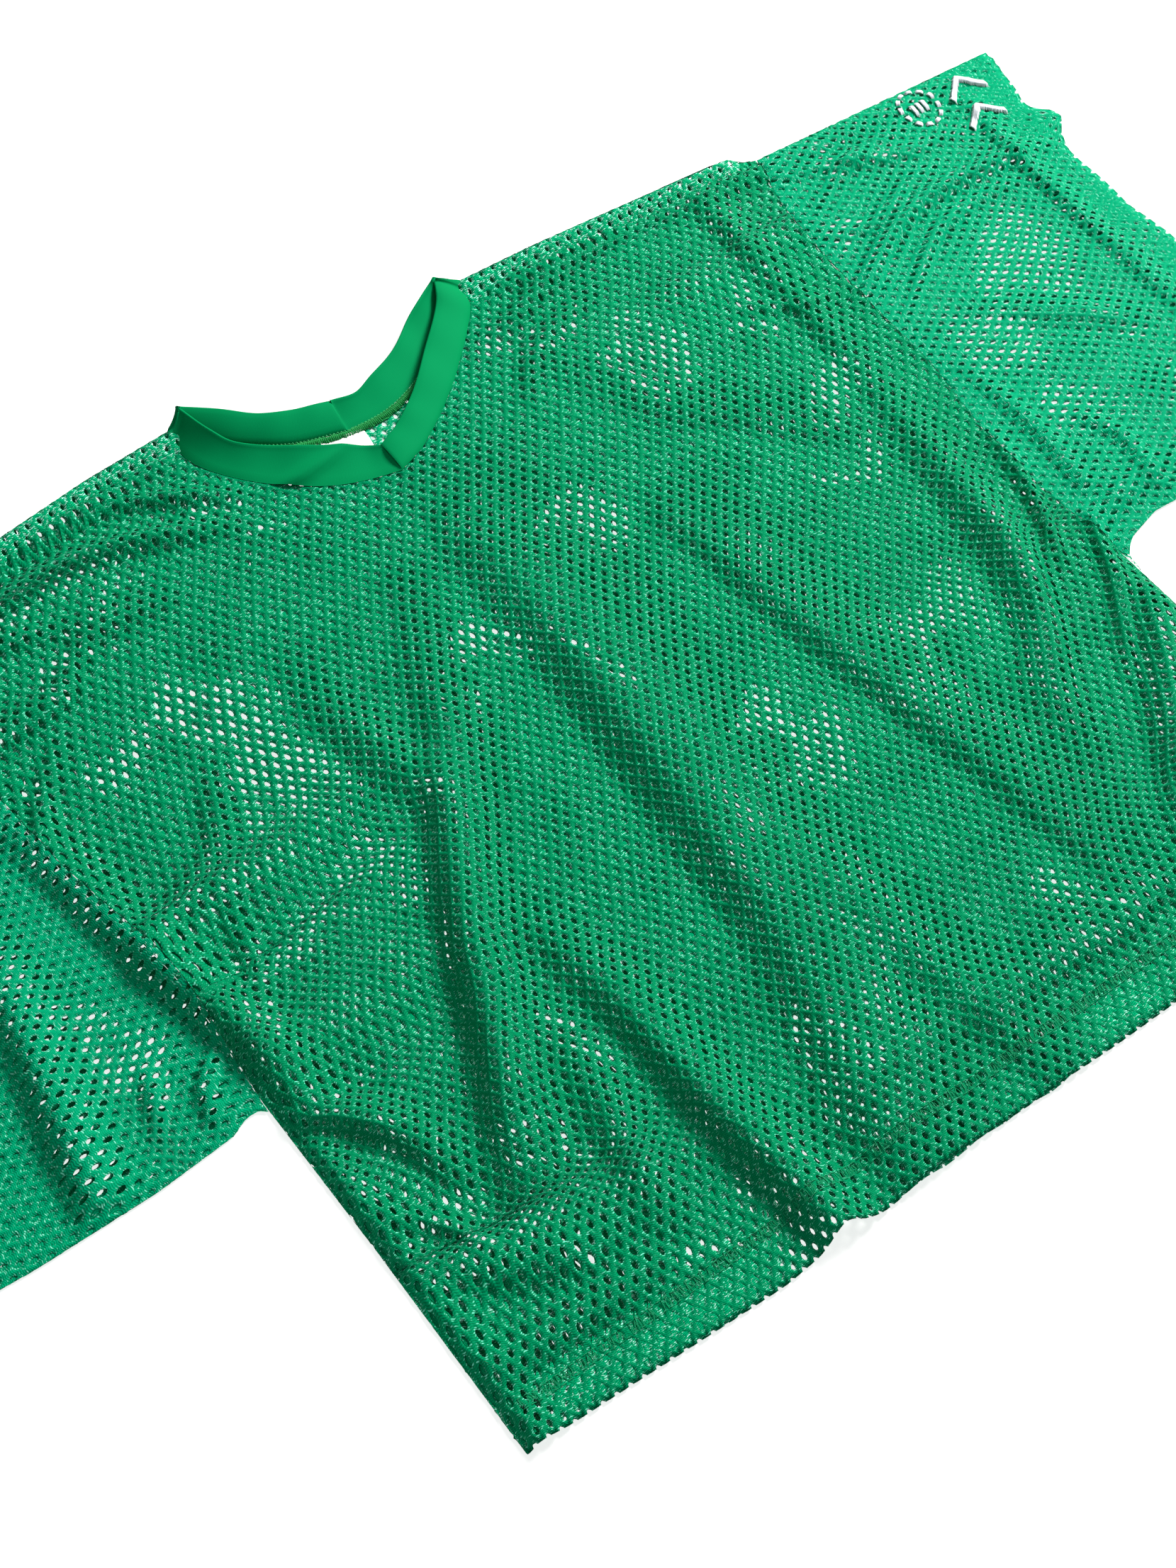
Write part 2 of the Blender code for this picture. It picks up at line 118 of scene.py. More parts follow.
# Neck seam and the neckband's folded edge. Each row: seam x, seam y, edge x, edge y, edge z.
# The first row is at the centre front, the last of each front half is at the shoulder.
NECK_FRONT_RIGHT = (
    (0.000, 0.000, -0.0010, 0.0192, 0.0060),
    (-0.034, 0.0125, -0.0206, 0.0314, 0.0088),
    (-0.061, 0.032, -0.0463, 0.0471, 0.0114),
    (-0.081, 0.054, -0.0686, 0.0647, 0.0130),
    (-0.093, 0.076, -0.0777, 0.0800, 0.0165),
    (-0.094, 0.098, -0.0850, 0.1022, 0.0205),
)
NECK_BACK_RIGHT = (
    (-0.094, 0.098, -0.0850, 0.1022, 0.0205),
    (-0.078, 0.084, -0.0657, 0.0905, 0.0160),
    (-0.059, 0.067, -0.0474, 0.0760, 0.0130),
    (-0.038, 0.053, -0.0291, 0.0673, 0.0115),
    (-0.008, 0.043, -0.0073, 0.0605, 0.0110),
)
NECK_FRONT_LEFT = (
    (0.000, 0.000, -0.0010, 0.0192, 0.0060),
    (0.021, 0.008, 0.0150, 0.0252, 0.0090),
    (0.048, 0.025, 0.0356, 0.0380, 0.0110),
    (0.070, 0.042, 0.0589, 0.0583, 0.0124),
    (0.094, 0.064, 0.0826, 0.0795, 0.0140),
    (0.107, 0.079, 0.0903, 0.0905, 0.0170),
    (0.110, 0.093, 0.0930, 0.0965, 0.0200),
)
NECK_BACK_LEFT = (
    (0.110, 0.093, 0.0930, 0.0965, 0.0200),
    (0.080, 0.072, 0.0688, 0.0850, 0.0155),
    (0.052, 0.054, 0.0446, 0.0700, 0.0120),
    (0.030, 0.045, 0.0226, 0.0619, 0.0112),
    (0.012, 0.042, 0.0082, 0.0575, 0.0105),
    (-0.008, 0.043, -0.0073, 0.0605, 0.0110),
)

# Folds of the front layer. Each row: name, crest as (x, y, height), and its width to the left and to the
# right of someone who walks the crest from its first point to its last. A negative height is a hollow.
FOLDS = (
    ("centre", ((0.004, -0.025, 0.001), (0.007, -0.070, 0.005), (0.003, -0.130, 0.009),
                (-0.002, -0.190, 0.011), (-0.009, -0.250, 0.012), (-0.015, -0.310, 0.012),
                (-0.023, -0.365, 0.011), (-0.038, -0.420, 0.010), (-0.050, -0.460, 0.009),
                (-0.056, -0.520, 0.004)), 0.085, 0.030),
    ("right_sweep", ((-0.050, -0.070, 0.001), (-0.083, -0.150, 0.006), (-0.120, -0.207, 0.012),
                     (-0.145, -0.250, 0.015), (-0.166, -0.292, 0.016), (-0.187, -0.338, 0.016),
                     (-0.208, -0.378, 0.012), (-0.226, -0.412, 0.002)), 0.038, 0.021),
    ("right_branch", ((-0.130, -0.085, 0.001), (-0.125, -0.130, 0.005), (-0.119, -0.172, 0.006),
                      (-0.117, -0.200, 0.002)), 0.026, 0.024),
    ("hem_flip", ((-0.126, -0.265, 0.001), (-0.119, -0.315, 0.006), (-0.116, -0.355, 0.009),
                  (-0.116, -0.405, 0.012), (-0.1145, -0.445, 0.014), (-0.112, -0.480, 0.014),
                  (-0.109, -0.530, 0.013)), 0.036, 0.019),
    ("between", ((-0.150, -0.330, 0.002), (-0.155, -0.370, 0.005), (-0.163, -0.410, 0.006),
                 (-0.172, -0.450, 0.003)), 0.024, 0.020),
    ("left_sweep", ((0.103, -0.100, 0.001), (0.108, -0.140, 0.004), (0.113, -0.190, 0.0055),
                    (0.120, -0.244, 0.006), (0.128, -0.300, 0.006), (0.135, -0.354, 0.005),
                    (0.141, -0.408, 0.0035), (0.145, -0.445, 0.001)), 0.055, 0.018),
    ("armhole_left", ((0.258, -0.150, 0.002), (0.250, -0.200, 0.008), (0.242, -0.252, 0.011),
                      (0.222, -0.298, 0.008), (0.200, -0.335, 0.005), (0.187, -0.372, 0.001)), 0.022, 0.025),
    ("underarm_left", ((0.291, -0.300, 0.004), (0.280, -0.326, 0.009), (0.264, -0.351, 0.011),
                       (0.232, -0.392, 0.010), (0.204, -0.433, 0.006), (0.185, -0.470, 0.001)), 0.036, 0.020),
    ("underarm_right", ((-0.292, -0.296, 0.004), (-0.268, -0.316, 0.008), (-0.250, -0.340, 0.008),
                        (-0.240, -0.375, 0.003)), 0.028, 0.012),
    ("corner_right", ((-0.270, -0.412, 0.003), (-0.250, -0.430, 0.006), (-0.222, -0.441, 0.006),
                      (-0.190, -0.440, 0.002)), 0.030, 0.016),
    ("hem_left", ((0.020, -0.360, 0.002), (0.026, -0.410, 0.004), (0.030, -0.450, 0.005),
                  (0.036, -0.510, 0.002)), 0.050, 0.020),
    ("hem_swell", ((-0.080, -0.462, 0.003), (-0.030, -0.458, 0.002), (0.040, -0.460, 0.004),
                   (0.100, -0.462, 0.006), (0.160, -0.466, 0.0045), (0.220, -0.470, 0.002)), 0.030, 0.017),
    ("hem_corner", ((-0.280, -0.470, 0.004), (-0.235, -0.472, 0.006), (-0.195, -0.470, 0.003)), 0.022, 0.012),
    ("side_right_roll", ((-0.288, -0.300, 0.002), (-0.288, -0.360, 0.005), (-0.290, -0.430, 0.004),
                         (-0.292, -0.500, 0.005), (-0.292, -0.530, 0.005)), 0.024, 0.012),
    ("yoke_right", ((-0.300, 0.052, 0.005), (-0.245, 0.054, 0.008), (-0.195, 0.055, 0.009),
                    (-0.155, 0.047, 0.008), (-0.122, 0.033, 0.005), (-0.100, 0.024, 0.001)), 0.014, 0.011),
    ("yoke_right_low", ((-0.270, 0.034, 0.001), (-0.245, 0.029, 0.004), (-0.215, 0.020, 0.003),
                        (-0.190, 0.016, 0.001)), 0.012, 0.009),
    ("chest_right", ((-0.300, -0.031, 0.004), (-0.270, -0.0235, 0.006), (-0.240, -0.0195, 0.006),
                     (-0.222, -0.006, 0.005), (-0.202, 0.0055, 0.005), (-0.172, 0.0045, 0.003),
                     (-0.150, 0.0005, 0.001)), 0.018, 0.008),
    ("armhole_right_top", ((-0.300, -0.094, 0.003), (-0.284, -0.069, 0.005), (-0.266, -0.050, 0.003),
                           (-0.255, -0.040, 0.001)), 0.008, 0.014),
    ("side_right", ((-0.296, -0.183, 0.003), (-0.270, -0.168, 0.005), (-0.250, -0.160, 0.005),
                    (-0.230, -0.151, 0.005), (-0.215, -0.130, 0.004), (-0.202, -0.106, 0.001)), 0.015, 0.016),
    ("side_right_low", ((-0.238, -0.172, 0.001), (-0.248, -0.200, 0.0035), (-0.254, -0.222, 0.003),
                        (-0.260, -0.240, 0.001)), 0.014, 0.009),
    ("armhole_right", ((-0.305, -0.060, 0.002), (-0.3035, -0.093, 0.006), (-0.2985, -0.133, 0.009),
                       (-0.293, -0.178, 0.011), (-0.285, -0.222, 0.013), (-0.2785, -0.258, 0.013),
                       (-0.2755, -0.288, 0.007), (-0.268, -0.315, 0.001)), 0.034, 0.018),
    ("yoke_left", ((0.102, 0.048, 0.001), (0.122, 0.054, 0.005), (0.148, 0.064, 0.006), (0.175, 0.070, 0.003),
                   (0.215, 0.072, 0.001)), 0.013, 0.010),
    ("yoke_left_low", ((0.094, 0.004, 0.001), (0.112, 0.022, 0.004), (0.140, 0.035, 0.005),
                       (0.175, 0.042, 0.001)), 0.014, 0.010),
    ("chest_left", ((0.128, -0.020, 0.0005), (0.160, -0.060, 0.002), (0.196, -0.098, 0.002),
                    (0.225, -0.135, 0.0005)), 0.045, 0.018),
    ("shoulder_left", ((0.272, 0.066, 0.002), (0.270, 0.030, 0.006), (0.268, -0.010, 0.003),
                       (0.266, -0.050, 0.0045), (0.263, -0.095, 0.002), (0.258, -0.130, 0.003),
                       (0.254, -0.165, 0.001)), 0.022, 0.015),
    ("sleeve_left_top", ((0.304, -0.052, 0.002), (0.340, -0.030, 0.006), (0.385, -0.016, 0.007),
                         (0.440, -0.018, 0.006), (0.475, -0.022, 0.002)), 0.012, 0.012),
    ("sleeve_left_cuff", ((0.462, 0.030, 0.002), (0.455, -0.020, 0.004), (0.453, -0.080, 0.004),
                          (0.452, -0.130, 0.003), (0.450, -0.190, 0.001)), 0.018, 0.008),
    ("sleeve_left_low", ((0.300, -0.262, 0.002), (0.330, -0.255, 0.004), (0.372, -0.250, 0.001)),
     0.014, 0.014),
    ("sleeve_right_mid", ((-0.353, -0.120, 0.002), (-0.368, -0.180, 0.010), (-0.381, -0.240, 0.012),
                          (-0.391, -0.285, 0.008)), 0.034, 0.017),
    ("roll_right", ((-0.112, 0.088, 0.003), (-0.160, 0.083, 0.005), (-0.220, 0.076, 0.003),
                    (-0.310, 0.064, 0.004), (-0.400, 0.056, 0.003), (-0.495, 0.049, 0.002)), 0.012, 0.014),
    ("roll_left", ((0.125, 0.083, 0.003), (0.160, 0.079, 0.004), (0.220, 0.074, 0.002), (0.310, 0.064, 0.003),
                   (0.400, 0.056, 0.002), (0.495, 0.049, 0.002)), 0.012, 0.014),
    # Small creases, finer than the construction holds.
    ("armpit_left_pinch", ((0.292, -0.180, 0.002), (0.282, -0.220, 0.006), (0.270, -0.252, 0.006),
                           (0.258, -0.275, 0.001)), 0.008, 0.009),
    ("armpit_left_low", ((0.296, -0.256, 0.003), (0.282, -0.290, 0.006), (0.258, -0.325, 0.006),
                         (0.235, -0.355, 0.001)), 0.011, 0.009),
    ("collar_right_fan", ((-0.195, 0.079, 0.001), (-0.150, 0.075, 0.005), (-0.112, 0.057, 0.006),
                          (-0.086, 0.040, 0.002)), 0.011, 0.008),
    ("side_right_pinch", ((-0.280, -0.375, 0.003), (-0.262, -0.392, 0.005), (-0.250, -0.416, 0.001)),
     0.012, 0.008),
    ("armhole_left_high", ((0.240, -0.020, 0.001), (0.262, -0.036, 0.003), (0.285, -0.044, 0.002)),
     0.010, 0.008),
    ("hem_left_hollow", ((0.138, -0.475, -0.001), (0.152, -0.469, -0.003), (0.167, -0.463, -0.001)),
     0.010, 0.010),
    ("sleeve_left_pleat", ((0.318, -0.080, 0.001), (0.365, -0.045, 0.004), (0.410, -0.035, 0.003),
                           (0.450, -0.040, 0.001)), 0.010, 0.008),
    ("sleeve_left_high", ((0.330, 0.020, 0.001), (0.370, 0.036, 0.004), (0.420, 0.040, 0.001)), 0.010, 0.010),
    ("sleeve_left_shoulder", ((0.318, 0.052, 0.002), (0.352, 0.041, 0.003), (0.398, 0.022, 0.004),
                              (0.440, 0.016, 0.001)), 0.012, 0.009),
    ("sleeve_left_middle", ((0.318, -0.006, 0.001), (0.348, -0.013, 0.004), (0.384, -0.001, 0.003),
                            (0.420, 0.004, 0.001)), 0.010, 0.010),
    ("sleeve_left_belly", ((0.352, -0.105, 0.001), (0.396, -0.140, 0.004), (0.430, -0.168, 0.001)),
     0.024, 0.014),
    ("sleeve_left_seat", ((0.342, -0.196, 0.001), (0.353, -0.226, 0.004), (0.346, -0.262, 0.002)),
     0.010, 0.009),
    ("sleeve_left_edge", ((0.312, -0.130, 0.001), (0.316, -0.185, 0.004), (0.310, -0.236, 0.003)),
     0.012, 0.010),
    ("sleeve_right_pinch", ((-0.330, -0.235, 0.002), (-0.336, -0.252, 0.005), (-0.345, -0.268, 0.002)),
     0.010, 0.009),
    ("sleeve_right_armpit", ((-0.300, -0.250, 0.004), (-0.312, -0.262, 0.006), (-0.318, -0.276, 0.003)),
     0.010, 0.008),
)

# ---------------- the mesh fabric

HOLE_PITCH = 0.0080               # from hole to hole across a row
ROW_PITCH = 0.0108                # from a row of holes to the next row that lines up with it
HOLE_REACH = (0.00152, 0.00222)   # half the width and half the length of a hole
RIM_SINK = 0.00038                # how far a hole's rim lies below the middle of the strands
RIM_DEPTH = 0.00045               # wall of the cloth at a rim
RIM_TAPER = 0.95                  # the rim's lower edge, as a share of its upper one
BACK_OPEN = 0.74                  # how open the back layer's holes are, but for the places below
CUFF_ROWS = 7                     # half rows of holes in a cuff's turned-up edge
LAYER_DROP = 0.0012               # from a turned-up hem's outer layer to its inner one
HEM_ROWS = 5                      # half rows of holes in a hem
SPLIT_ROW = HEM_ROWS + 3          # half row at which a body panel's two meshes meet
BACK_TOP = 0.0013                 # the back layer's upper side
SEAM_TOP = 0.0015                 # where the front layer meets the back at a seam or fold
SEAM_ROLL = 0.0030                # width over which the front layer rounds down to it
MAP_STEP = 0.0025                 # grid on which the cloth's length over the folds is added up
LEAN_BLUR = 6                     # steps of that grid over which the lean of the rows evens out
UNDER_BLUR = 6                    # the same for the front's folds as the back layer follows them
CENTRE_WANDER = 0.00008           # how far a hole strays from its place
SIZE_SPREAD = 0.035               # how much a hole's size varies, as a share
STRAND_WANDER = 0.00004           # how far a strand's crossing strays in height
FOLD_ROLL = 0.0015                # length of cloth in which a turned-up edge drops to its inner layer
FOLD_MIDDLE = 0.45                # share of that drop at the fold line
ON_LINE = 1e-9                    # points nearer than this lie on the fold line

# Places where the holes of the two layers line up, so that the surface shows through: x, y, then the reach
# in x and in y.
SEE_THROUGH = (
    (-0.172, -0.150, 0.026, 0.080), (-0.182, -0.072, 0.022, 0.024), (-0.235, -0.070, 0.024, 0.018),
    (-0.190, 0.024, 0.036, 0.010), (-0.225, -0.006, 0.030, 0.007), (-0.085, 0.006, 0.018, 0.006),
    (-0.110, 0.036, 0.016, 0.006), (-0.070, -0.125, 0.008, 0.020), (-0.035, -0.128, 0.014, 0.018),
    (-0.270, -0.230, 0.009, 0.024), (-0.292, -0.064, 0.010, 0.012), (-0.122, -0.170, 0.009, 0.012),
    (0.170, -0.008, 0.023, 0.026), (0.122, 0.036, 0.028, 0.011), (0.243, 0.006, 0.009, 0.016),
    (0.262, -0.012, 0.010, 0.010), (0.145, -0.040, 0.007, 0.012), (0.238, -0.030, 0.012, 0.008),
    (0.240, -0.104, 0.017, 0.022), (0.214, -0.148, 0.024, 0.009), (0.060, -0.090, 0.032, 0.020),
    (0.056, -0.276, 0.042, 0.030), (0.180, -0.256, 0.040, 0.024), (0.004, -0.160, 0.007, 0.040),
    (0.110, -0.430, 0.018, 0.022), (-0.045, -0.430, 0.012, 0.030), (-0.200, -0.390, 0.008, 0.028),
    (-0.270, -0.300, 0.009, 0.013), (-0.254, -0.330, 0.009, 0.013), (-0.262, -0.365, 0.013, 0.016),
    (-0.238, -0.380, 0.014, 0.009), (-0.268, -0.400, 0.022, 0.009), (-0.216, -0.440, 0.012, 0.008),
    (-0.145, -0.355, 0.011, 0.032), (-0.155, -0.483, 0.036, 0.005), (-0.125, -0.492, 0.018, 0.013),
    (0.392, 0.018, 0.028, 0.015), (0.330, -0.012, 0.020, 0.010), (0.405, -0.085, 0.050, 0.038),
    (0.350, -0.115, 0.045, 0.034), (0.410, -0.150, 0.034, 0.034), (0.355, -0.190, 0.034, 0.030),
    (0.400, -0.225, 0.034, 0.024), (-0.335, -0.215, 0.016, 0.034), (-0.420, -0.150, 0.030, 0.040),
)


def smooth(t):
    """0 to 1 with level ends."""
    t = np.clip(t, 0.0, 1.0)
    return t * t * (3.0 - 2.0 * t)


def curve_through(rows, steps=CURVE_STEPS):
    """A Catmull-Rom curve through rows of numbers, as an array of rows."""
    rows = np.array(rows, float)
    rows = np.vstack([2 * rows[0] - rows[1], rows, 2 * rows[-1] - rows[-2]])
    curve = []
    for before, start, end, after in zip(rows, rows[1:], rows[2:], rows[3:]):
        for k in range(steps):
            t = k / steps
            curve.append(0.5 * (2 * start + (end - before) * t
                                + (2 * before - 5 * start + 4 * end - after) * t ** 2
                                + (3 * start - before - 3 * end + after) * t ** 3))
    return np.array(curve + [rows[-2]])


def walked(points):
    """How far along a line each of its points lies."""
    return np.concatenate([[0.0], np.cumsum(np.linalg.norm(np.diff(points, axis=0), axis=1))])


def unit(vectors):
    """The vectors at length 1."""
    return vectors / np.maximum(np.linalg.norm(vectors, axis=1), 1e-9)[:, None]


def winding(value, length, other, bend_length, bend):
    """A wave along value that a second wave, along other, bends."""
    return np.sin(value / length + bend * np.sin(other / bend_length))


def grid_quads(lines, size, flip=False):
    """Quads between neighbouring lines of a grid of points, size points to a line. flip turns them over."""
    first = (np.arange(lines - 1)[:, None] * size + np.arange(size - 1)).reshape(-1, 1)
    return first + ((0, size, size + 1, 1) if flip else (0, 1, size + 1, size))


def along_line(points, line):
    """Each point's distance to a line in plan, the line's place there, and which side: 1 square to the left
    of someone who walks it, 0 straight past an end, -1 square to the right."""
    far = np.full(len(points), np.inf)
    place = np.zeros((len(points), line.shape[1]))
    side = np.zeros(len(points))
    for start, end in zip(line, line[1:]):
        way = end[:2] - start[:2]
        size = math.hypot(*way)
        share = np.clip((points - start[:2]) @ way / size ** 2, 0.0, 1.0)
        off = points - start[:2] - share[:, None] * way
        gap = np.hypot(off[:, 0], off[:, 1])
        near = gap < far
        far[near] = gap[near]
        place[near] = start + share[near, None] * (end - start)
        turn = way[0] * off[:, 1] - way[1] * off[:, 0]
        side[near] = turn[near] / np.maximum(gap[near] * size, 1e-12)
    return far, place, side


CRESTS = [(curve_through(crest), left, right) for _, crest, left, right in FOLDS]
ARMHOLE_SEAM = curve_through(ARMHOLE)


def closed_edges():
    """Seams and folds that hold the front layer to the back layer: each a line in plan, and the width over
    which the front comes down to it."""
    lines = []
    for side in (1, -1):
        lines.append((np.array(SHOULDER[side] + ((side * CUFF_TOP[0], CUFF_TOP[1]),)), EDGE_EASE))
        lines.append((np.array(SIDE[side]), SIDE_EASE))
        lines.append((np.array(UNDERARM[side]), EDGE_EASE))
    return lines


CLOSED_EDGES = closed_edges()

# Gentle unevenness of cloth at rest: wave length, direction and height of each swell.
SWELLS = ((0.083, 0.4, 0.00030), (0.057, 1.9, 0.00022), (0.041, 2.7, 0.00012), (0.031, 1.1, 0.00008))


def ripple(points):
    """Height of the gentle unevenness at plan points."""
    height = np.zeros(len(points))
    for i, (length, turn, size) in enumerate(SWELLS):
        along = points @ (math.cos(turn), math.sin(turn)) / length
        across = points @ (-math.sin(turn), math.cos(turn)) / length
        height += size * np.sin(2 * math.pi * along + 1.7 * np.sin(1.9 * across + i))
    return height


def loft(points):
    """Height of the front layer over its rest on the back layer, and the distance to the nearest seam."""
    height = np.zeros(len(points))
    for crest, left, right in CRESTS:
        reach = max(left, right)
        low, high = crest[:, :2].min(axis=0) - reach, crest[:, :2].max(axis=0) + reach
        near = np.flatnonzero(((points > low) & (points < high)).all(axis=1))
        if not len(near):
            continue
        far, place, side = along_line(points[near], crest)
        width = right + (left - right) * (1.0 + side) / 2
        bell = 0.5 * (1.0 + np.cos(math.pi * np.minimum(far / width, 1.0)))
        height[near] += place[:, 2] * bell ** CREST_POWER
    height = np.maximum(height + ripple(points), 0.0)
    edge = np.full(len(points), np.inf)
    ease = np.ones(len(points))
    for line, width in CLOSED_EDGES:
        far = along_line(points, line)[0]
        edge = np.minimum(edge, far)
        ease = np.minimum(ease, smooth(far / width))
    return height * ease, edge


def shoulder_rise(points):
    """How far a point rises with the rolled shoulder edges: 1 on them, 0 past their reach."""
    share = np.zeros(len(points))
    for side, line in SHOULDER.items():
        far, place, _ = along_line(points, np.array(line))
        fade = smooth((SHOULDER_END - side * place[:, 0]) / SHOULDER_FADE)
        share = np.maximum(share, fade * np.clip(1.0 - far / SHOULDER_REACH, 0.0, 1.0))
    return share


def front_height(points):
    """Upper side of the front layer."""
    height, edge = loft(points)
    low = SEAM_TOP + SHOULDER_RISE * smooth(3.0 * shoulder_rise(points) - 2.0)
    top = np.maximum(REST_TOP + height, low)
    return low + (top - low) * np.sqrt(smooth(edge / SEAM_ROLL))


def see_through(points):
    """1 where the holes of the two layers line up, 0 where they don't."""
    x, y = points.T
    bent_x = x + 0.008 * winding(y, 0.012, x, 0.021, 2.5)
    bent_y = y + 0.010 * winding(x, 0.011, y, 0.027, 2.0)
    share = np.zeros(len(points))
    for middle_x, middle_y, wide, tall in SEE_THROUGH:
        far = np.hypot((bent_x - middle_x) / wide, (bent_y - middle_y) / tall)
        share = np.maximum(share, smooth(1.5 - far))
    patchy = winding(x, 0.0053, y, 0.019, 1.9) * winding(y, 0.0075, x, 0.017, 1.4)
    return share * (0.91 + 0.09 * patchy)


def slip_under(points):
    """How far the back layer's holes lie from under the front's, across and along its wales."""
    x, y = points.T
    wander = 0.0011 * winding(x, 0.0075, y, 0.019, 2.0) * winding(y, 0.011, x, 0.023, 1.6)
    drift = 0.0006 * winding(x, 0.031, y, 0.047, 2.0)
    return np.column_stack([HOLE_PITCH / 2 * (1.0 - see_through(points)) + wander + drift, wander - drift])


def back_open(points):
    """How open the back layer's holes are, as a share of the front's."""
    return BACK_OPEN + (1.0 - BACK_OPEN) * see_through(points)


def back_height(points):
    """Upper side of the back layer, flat on the surface."""
    return BACK_TOP + 0.25 * ripple(points * 1.3) + SHOULDER_RISE * smooth(shoulder_rise(points))


class Cut:
    """The flat cut of one layer, and where its points lie in plan once the garment is laid out.

    across and along are the cut's own axes; along runs with the wales. The cloth keeps its length over the
    folds that run along it, and its rows stay square to its wales.
    """

    def __init__(self, origin, turn, reach, height=None, fan=None, square_from=None, draw=None, lean=0.0,
                 tilt=0.0):
        self.origin = np.array(origin, float)
        self.axes = np.array([[math.cos(turn), math.sin(turn)], [-math.sin(turn), math.cos(turn)]])
        self.draw = draw
        self.slip = None
        self.lean = lean
        self.tilt = tilt
        self.low = np.array([-reach, -reach])
        count = int(2 * reach / MAP_STEP) + 1
        steps = -reach + np.arange(count) * MAP_STEP
        across, along = np.meshgrid(steps, steps)
        self.place = across.copy()
        self.shift = np.zeros_like(across)
        if height is None:
            return
        rise = height(self.origin + np.stack([across.ravel(), along.ravel()], axis=1) @ self.axes)
        slope = np.gradient(rise.reshape(across.shape), MAP_STEP, axis=1)
        longer = (np.sqrt(1 + slope ** 2) - 1) * MAP_STEP
        length = across + np.cumsum(longer, axis=1)
        middle = np.argmin(np.abs(steps))
        length -= length[:, middle:middle + 1]
        if fan is not None:
            length += fan(across, along)
        for row in range(count):
            self.place[row] = np.interp(steps, length[row], steps)
        lean = -np.gradient(self.place, MAP_STEP, axis=0)
        for axis in (0, 1):
            lean = blurred(lean, LEAN_BLUR, axis)
        if square_from is not None:
            lean *= smooth((along - square_from[0]) / square_from[1])
        self.shift = np.cumsum(lean, axis=1) * MAP_STEP
        self.shift -= self.shift[:, middle:middle + 1]

    def plan(self, flat):
        """Plan places of points of the cut, as rows of (across, along)."""
        spot = (flat - self.low) / MAP_STEP
        spot = np.clip(spot, 0, len(self.place) - 1.001)
        column, row = np.floor(spot).astype(int).T
        u, v = (spot - np.floor(spot)).T
        found = []
        for grid in (self.place, self.shift):
            found.append((grid[row, column] * (1 - u) + grid[row, column + 1] * u) * (1 - v)
                         + (grid[row + 1, column] * (1 - u) + grid[row + 1, column + 1] * u) * v)
        local = np.stack([found[0] + self.lean * flat[:, 1], flat[:, 1] + found[1]], axis=1)
        local[:, 1] += self.tilt * flat[:, 0] * smooth(-flat[:, 1] / TILT_REACH)
        if self.draw is not None:
            local[:, 1] -= self.draw(local)
        plan = self.origin + local @ self.axes
        if self.slip is not None:
            plan += self.slip(plan) @ self.axes
        return plan

    def beneath(self, slip):
        """The cut of a layer that lies flat under this one, and follows it but for its small folds."""
        under = copy.copy(self)
        under.draw = None
        under.slip = slip
        for axis in (0, 1, 0, 1):
            under.place = blurred(under.place, UNDER_BLUR, axis)
            under.shift = blurred(under.shift, UNDER_BLUR, axis)
        return under


def blurred(grid, reach, axis):
    """A running mean over 2 * reach + 1 cells."""
    size = 2 * reach + 1
    pad = [(0, 0), (0, 0)]
    pad[axis] = (reach + 1, reach)
    total = np.cumsum(np.pad(grid, pad, mode="edge"), axis=axis)
    after = np.take(total, range(size, total.shape[axis]), axis=axis)
    before = np.take(total, range(total.shape[axis] - size), axis=axis)
    return (after - before) / size


def is_inside(points, outline):
    """True for each point that lies inside the closed outline."""
    odd = np.zeros(len(points), bool)
    x, y = points.T
    for start, end in zip(outline, np.roll(outline, -1, axis=0)):
        if start[1] == end[1]:
            continue
        spans = (start[1] > y) != (end[1] > y)
        odd ^= spans & (x < start[0] + (y - start[1]) * (end[0] - start[0]) / (end[1] - start[1]))
    return odd


RING = [(math.cos(k * math.pi / 4), math.sin(k * math.pi / 4)) for k in range(8)]
LOWER = (0, 1, 3, 4, 5, 7)        # the ring's points that have a wall below them; the two tips have none
# A cell's points: the ring 0-7, the rim's lower edge 8-13, then the right, top, left and bottom corners.
LOW = {k: 8 + i for i, k in enumerate(LOWER)}
RIGHT, TOP, LEFT, BOTTOM = 14, 15, 16, 17


def cell_faces():
    """Triangles of one cell: twelve between its hole and its corners, and twelve of the hole's wall."""
    faces = [(RIGHT, 0, 7), (RIGHT, 1, 0), (RIGHT, TOP, 1), (TOP, 2, 1), (TOP, 3, 2), (TOP, LEFT, 3),
             (LEFT, 4, 3), (LEFT, 5, 4), (LEFT, BOTTOM, 5), (BOTTOM, 6, 5), (BOTTOM, 7, 6),
             (BOTTOM, RIGHT, 7)]
    for k in range(8):
        after = (k + 1) % 8
        if k in LOW and after in LOW:
            faces += [(k, after, LOW[after]), (k, LOW[after], LOW[k])]
        elif k in LOW:
            faces.append((k, after, LOW[k]))
        else:
            faces.append((k, after, LOW[after]))
    return np.array(faces)


CELL_FACES = cell_faces()


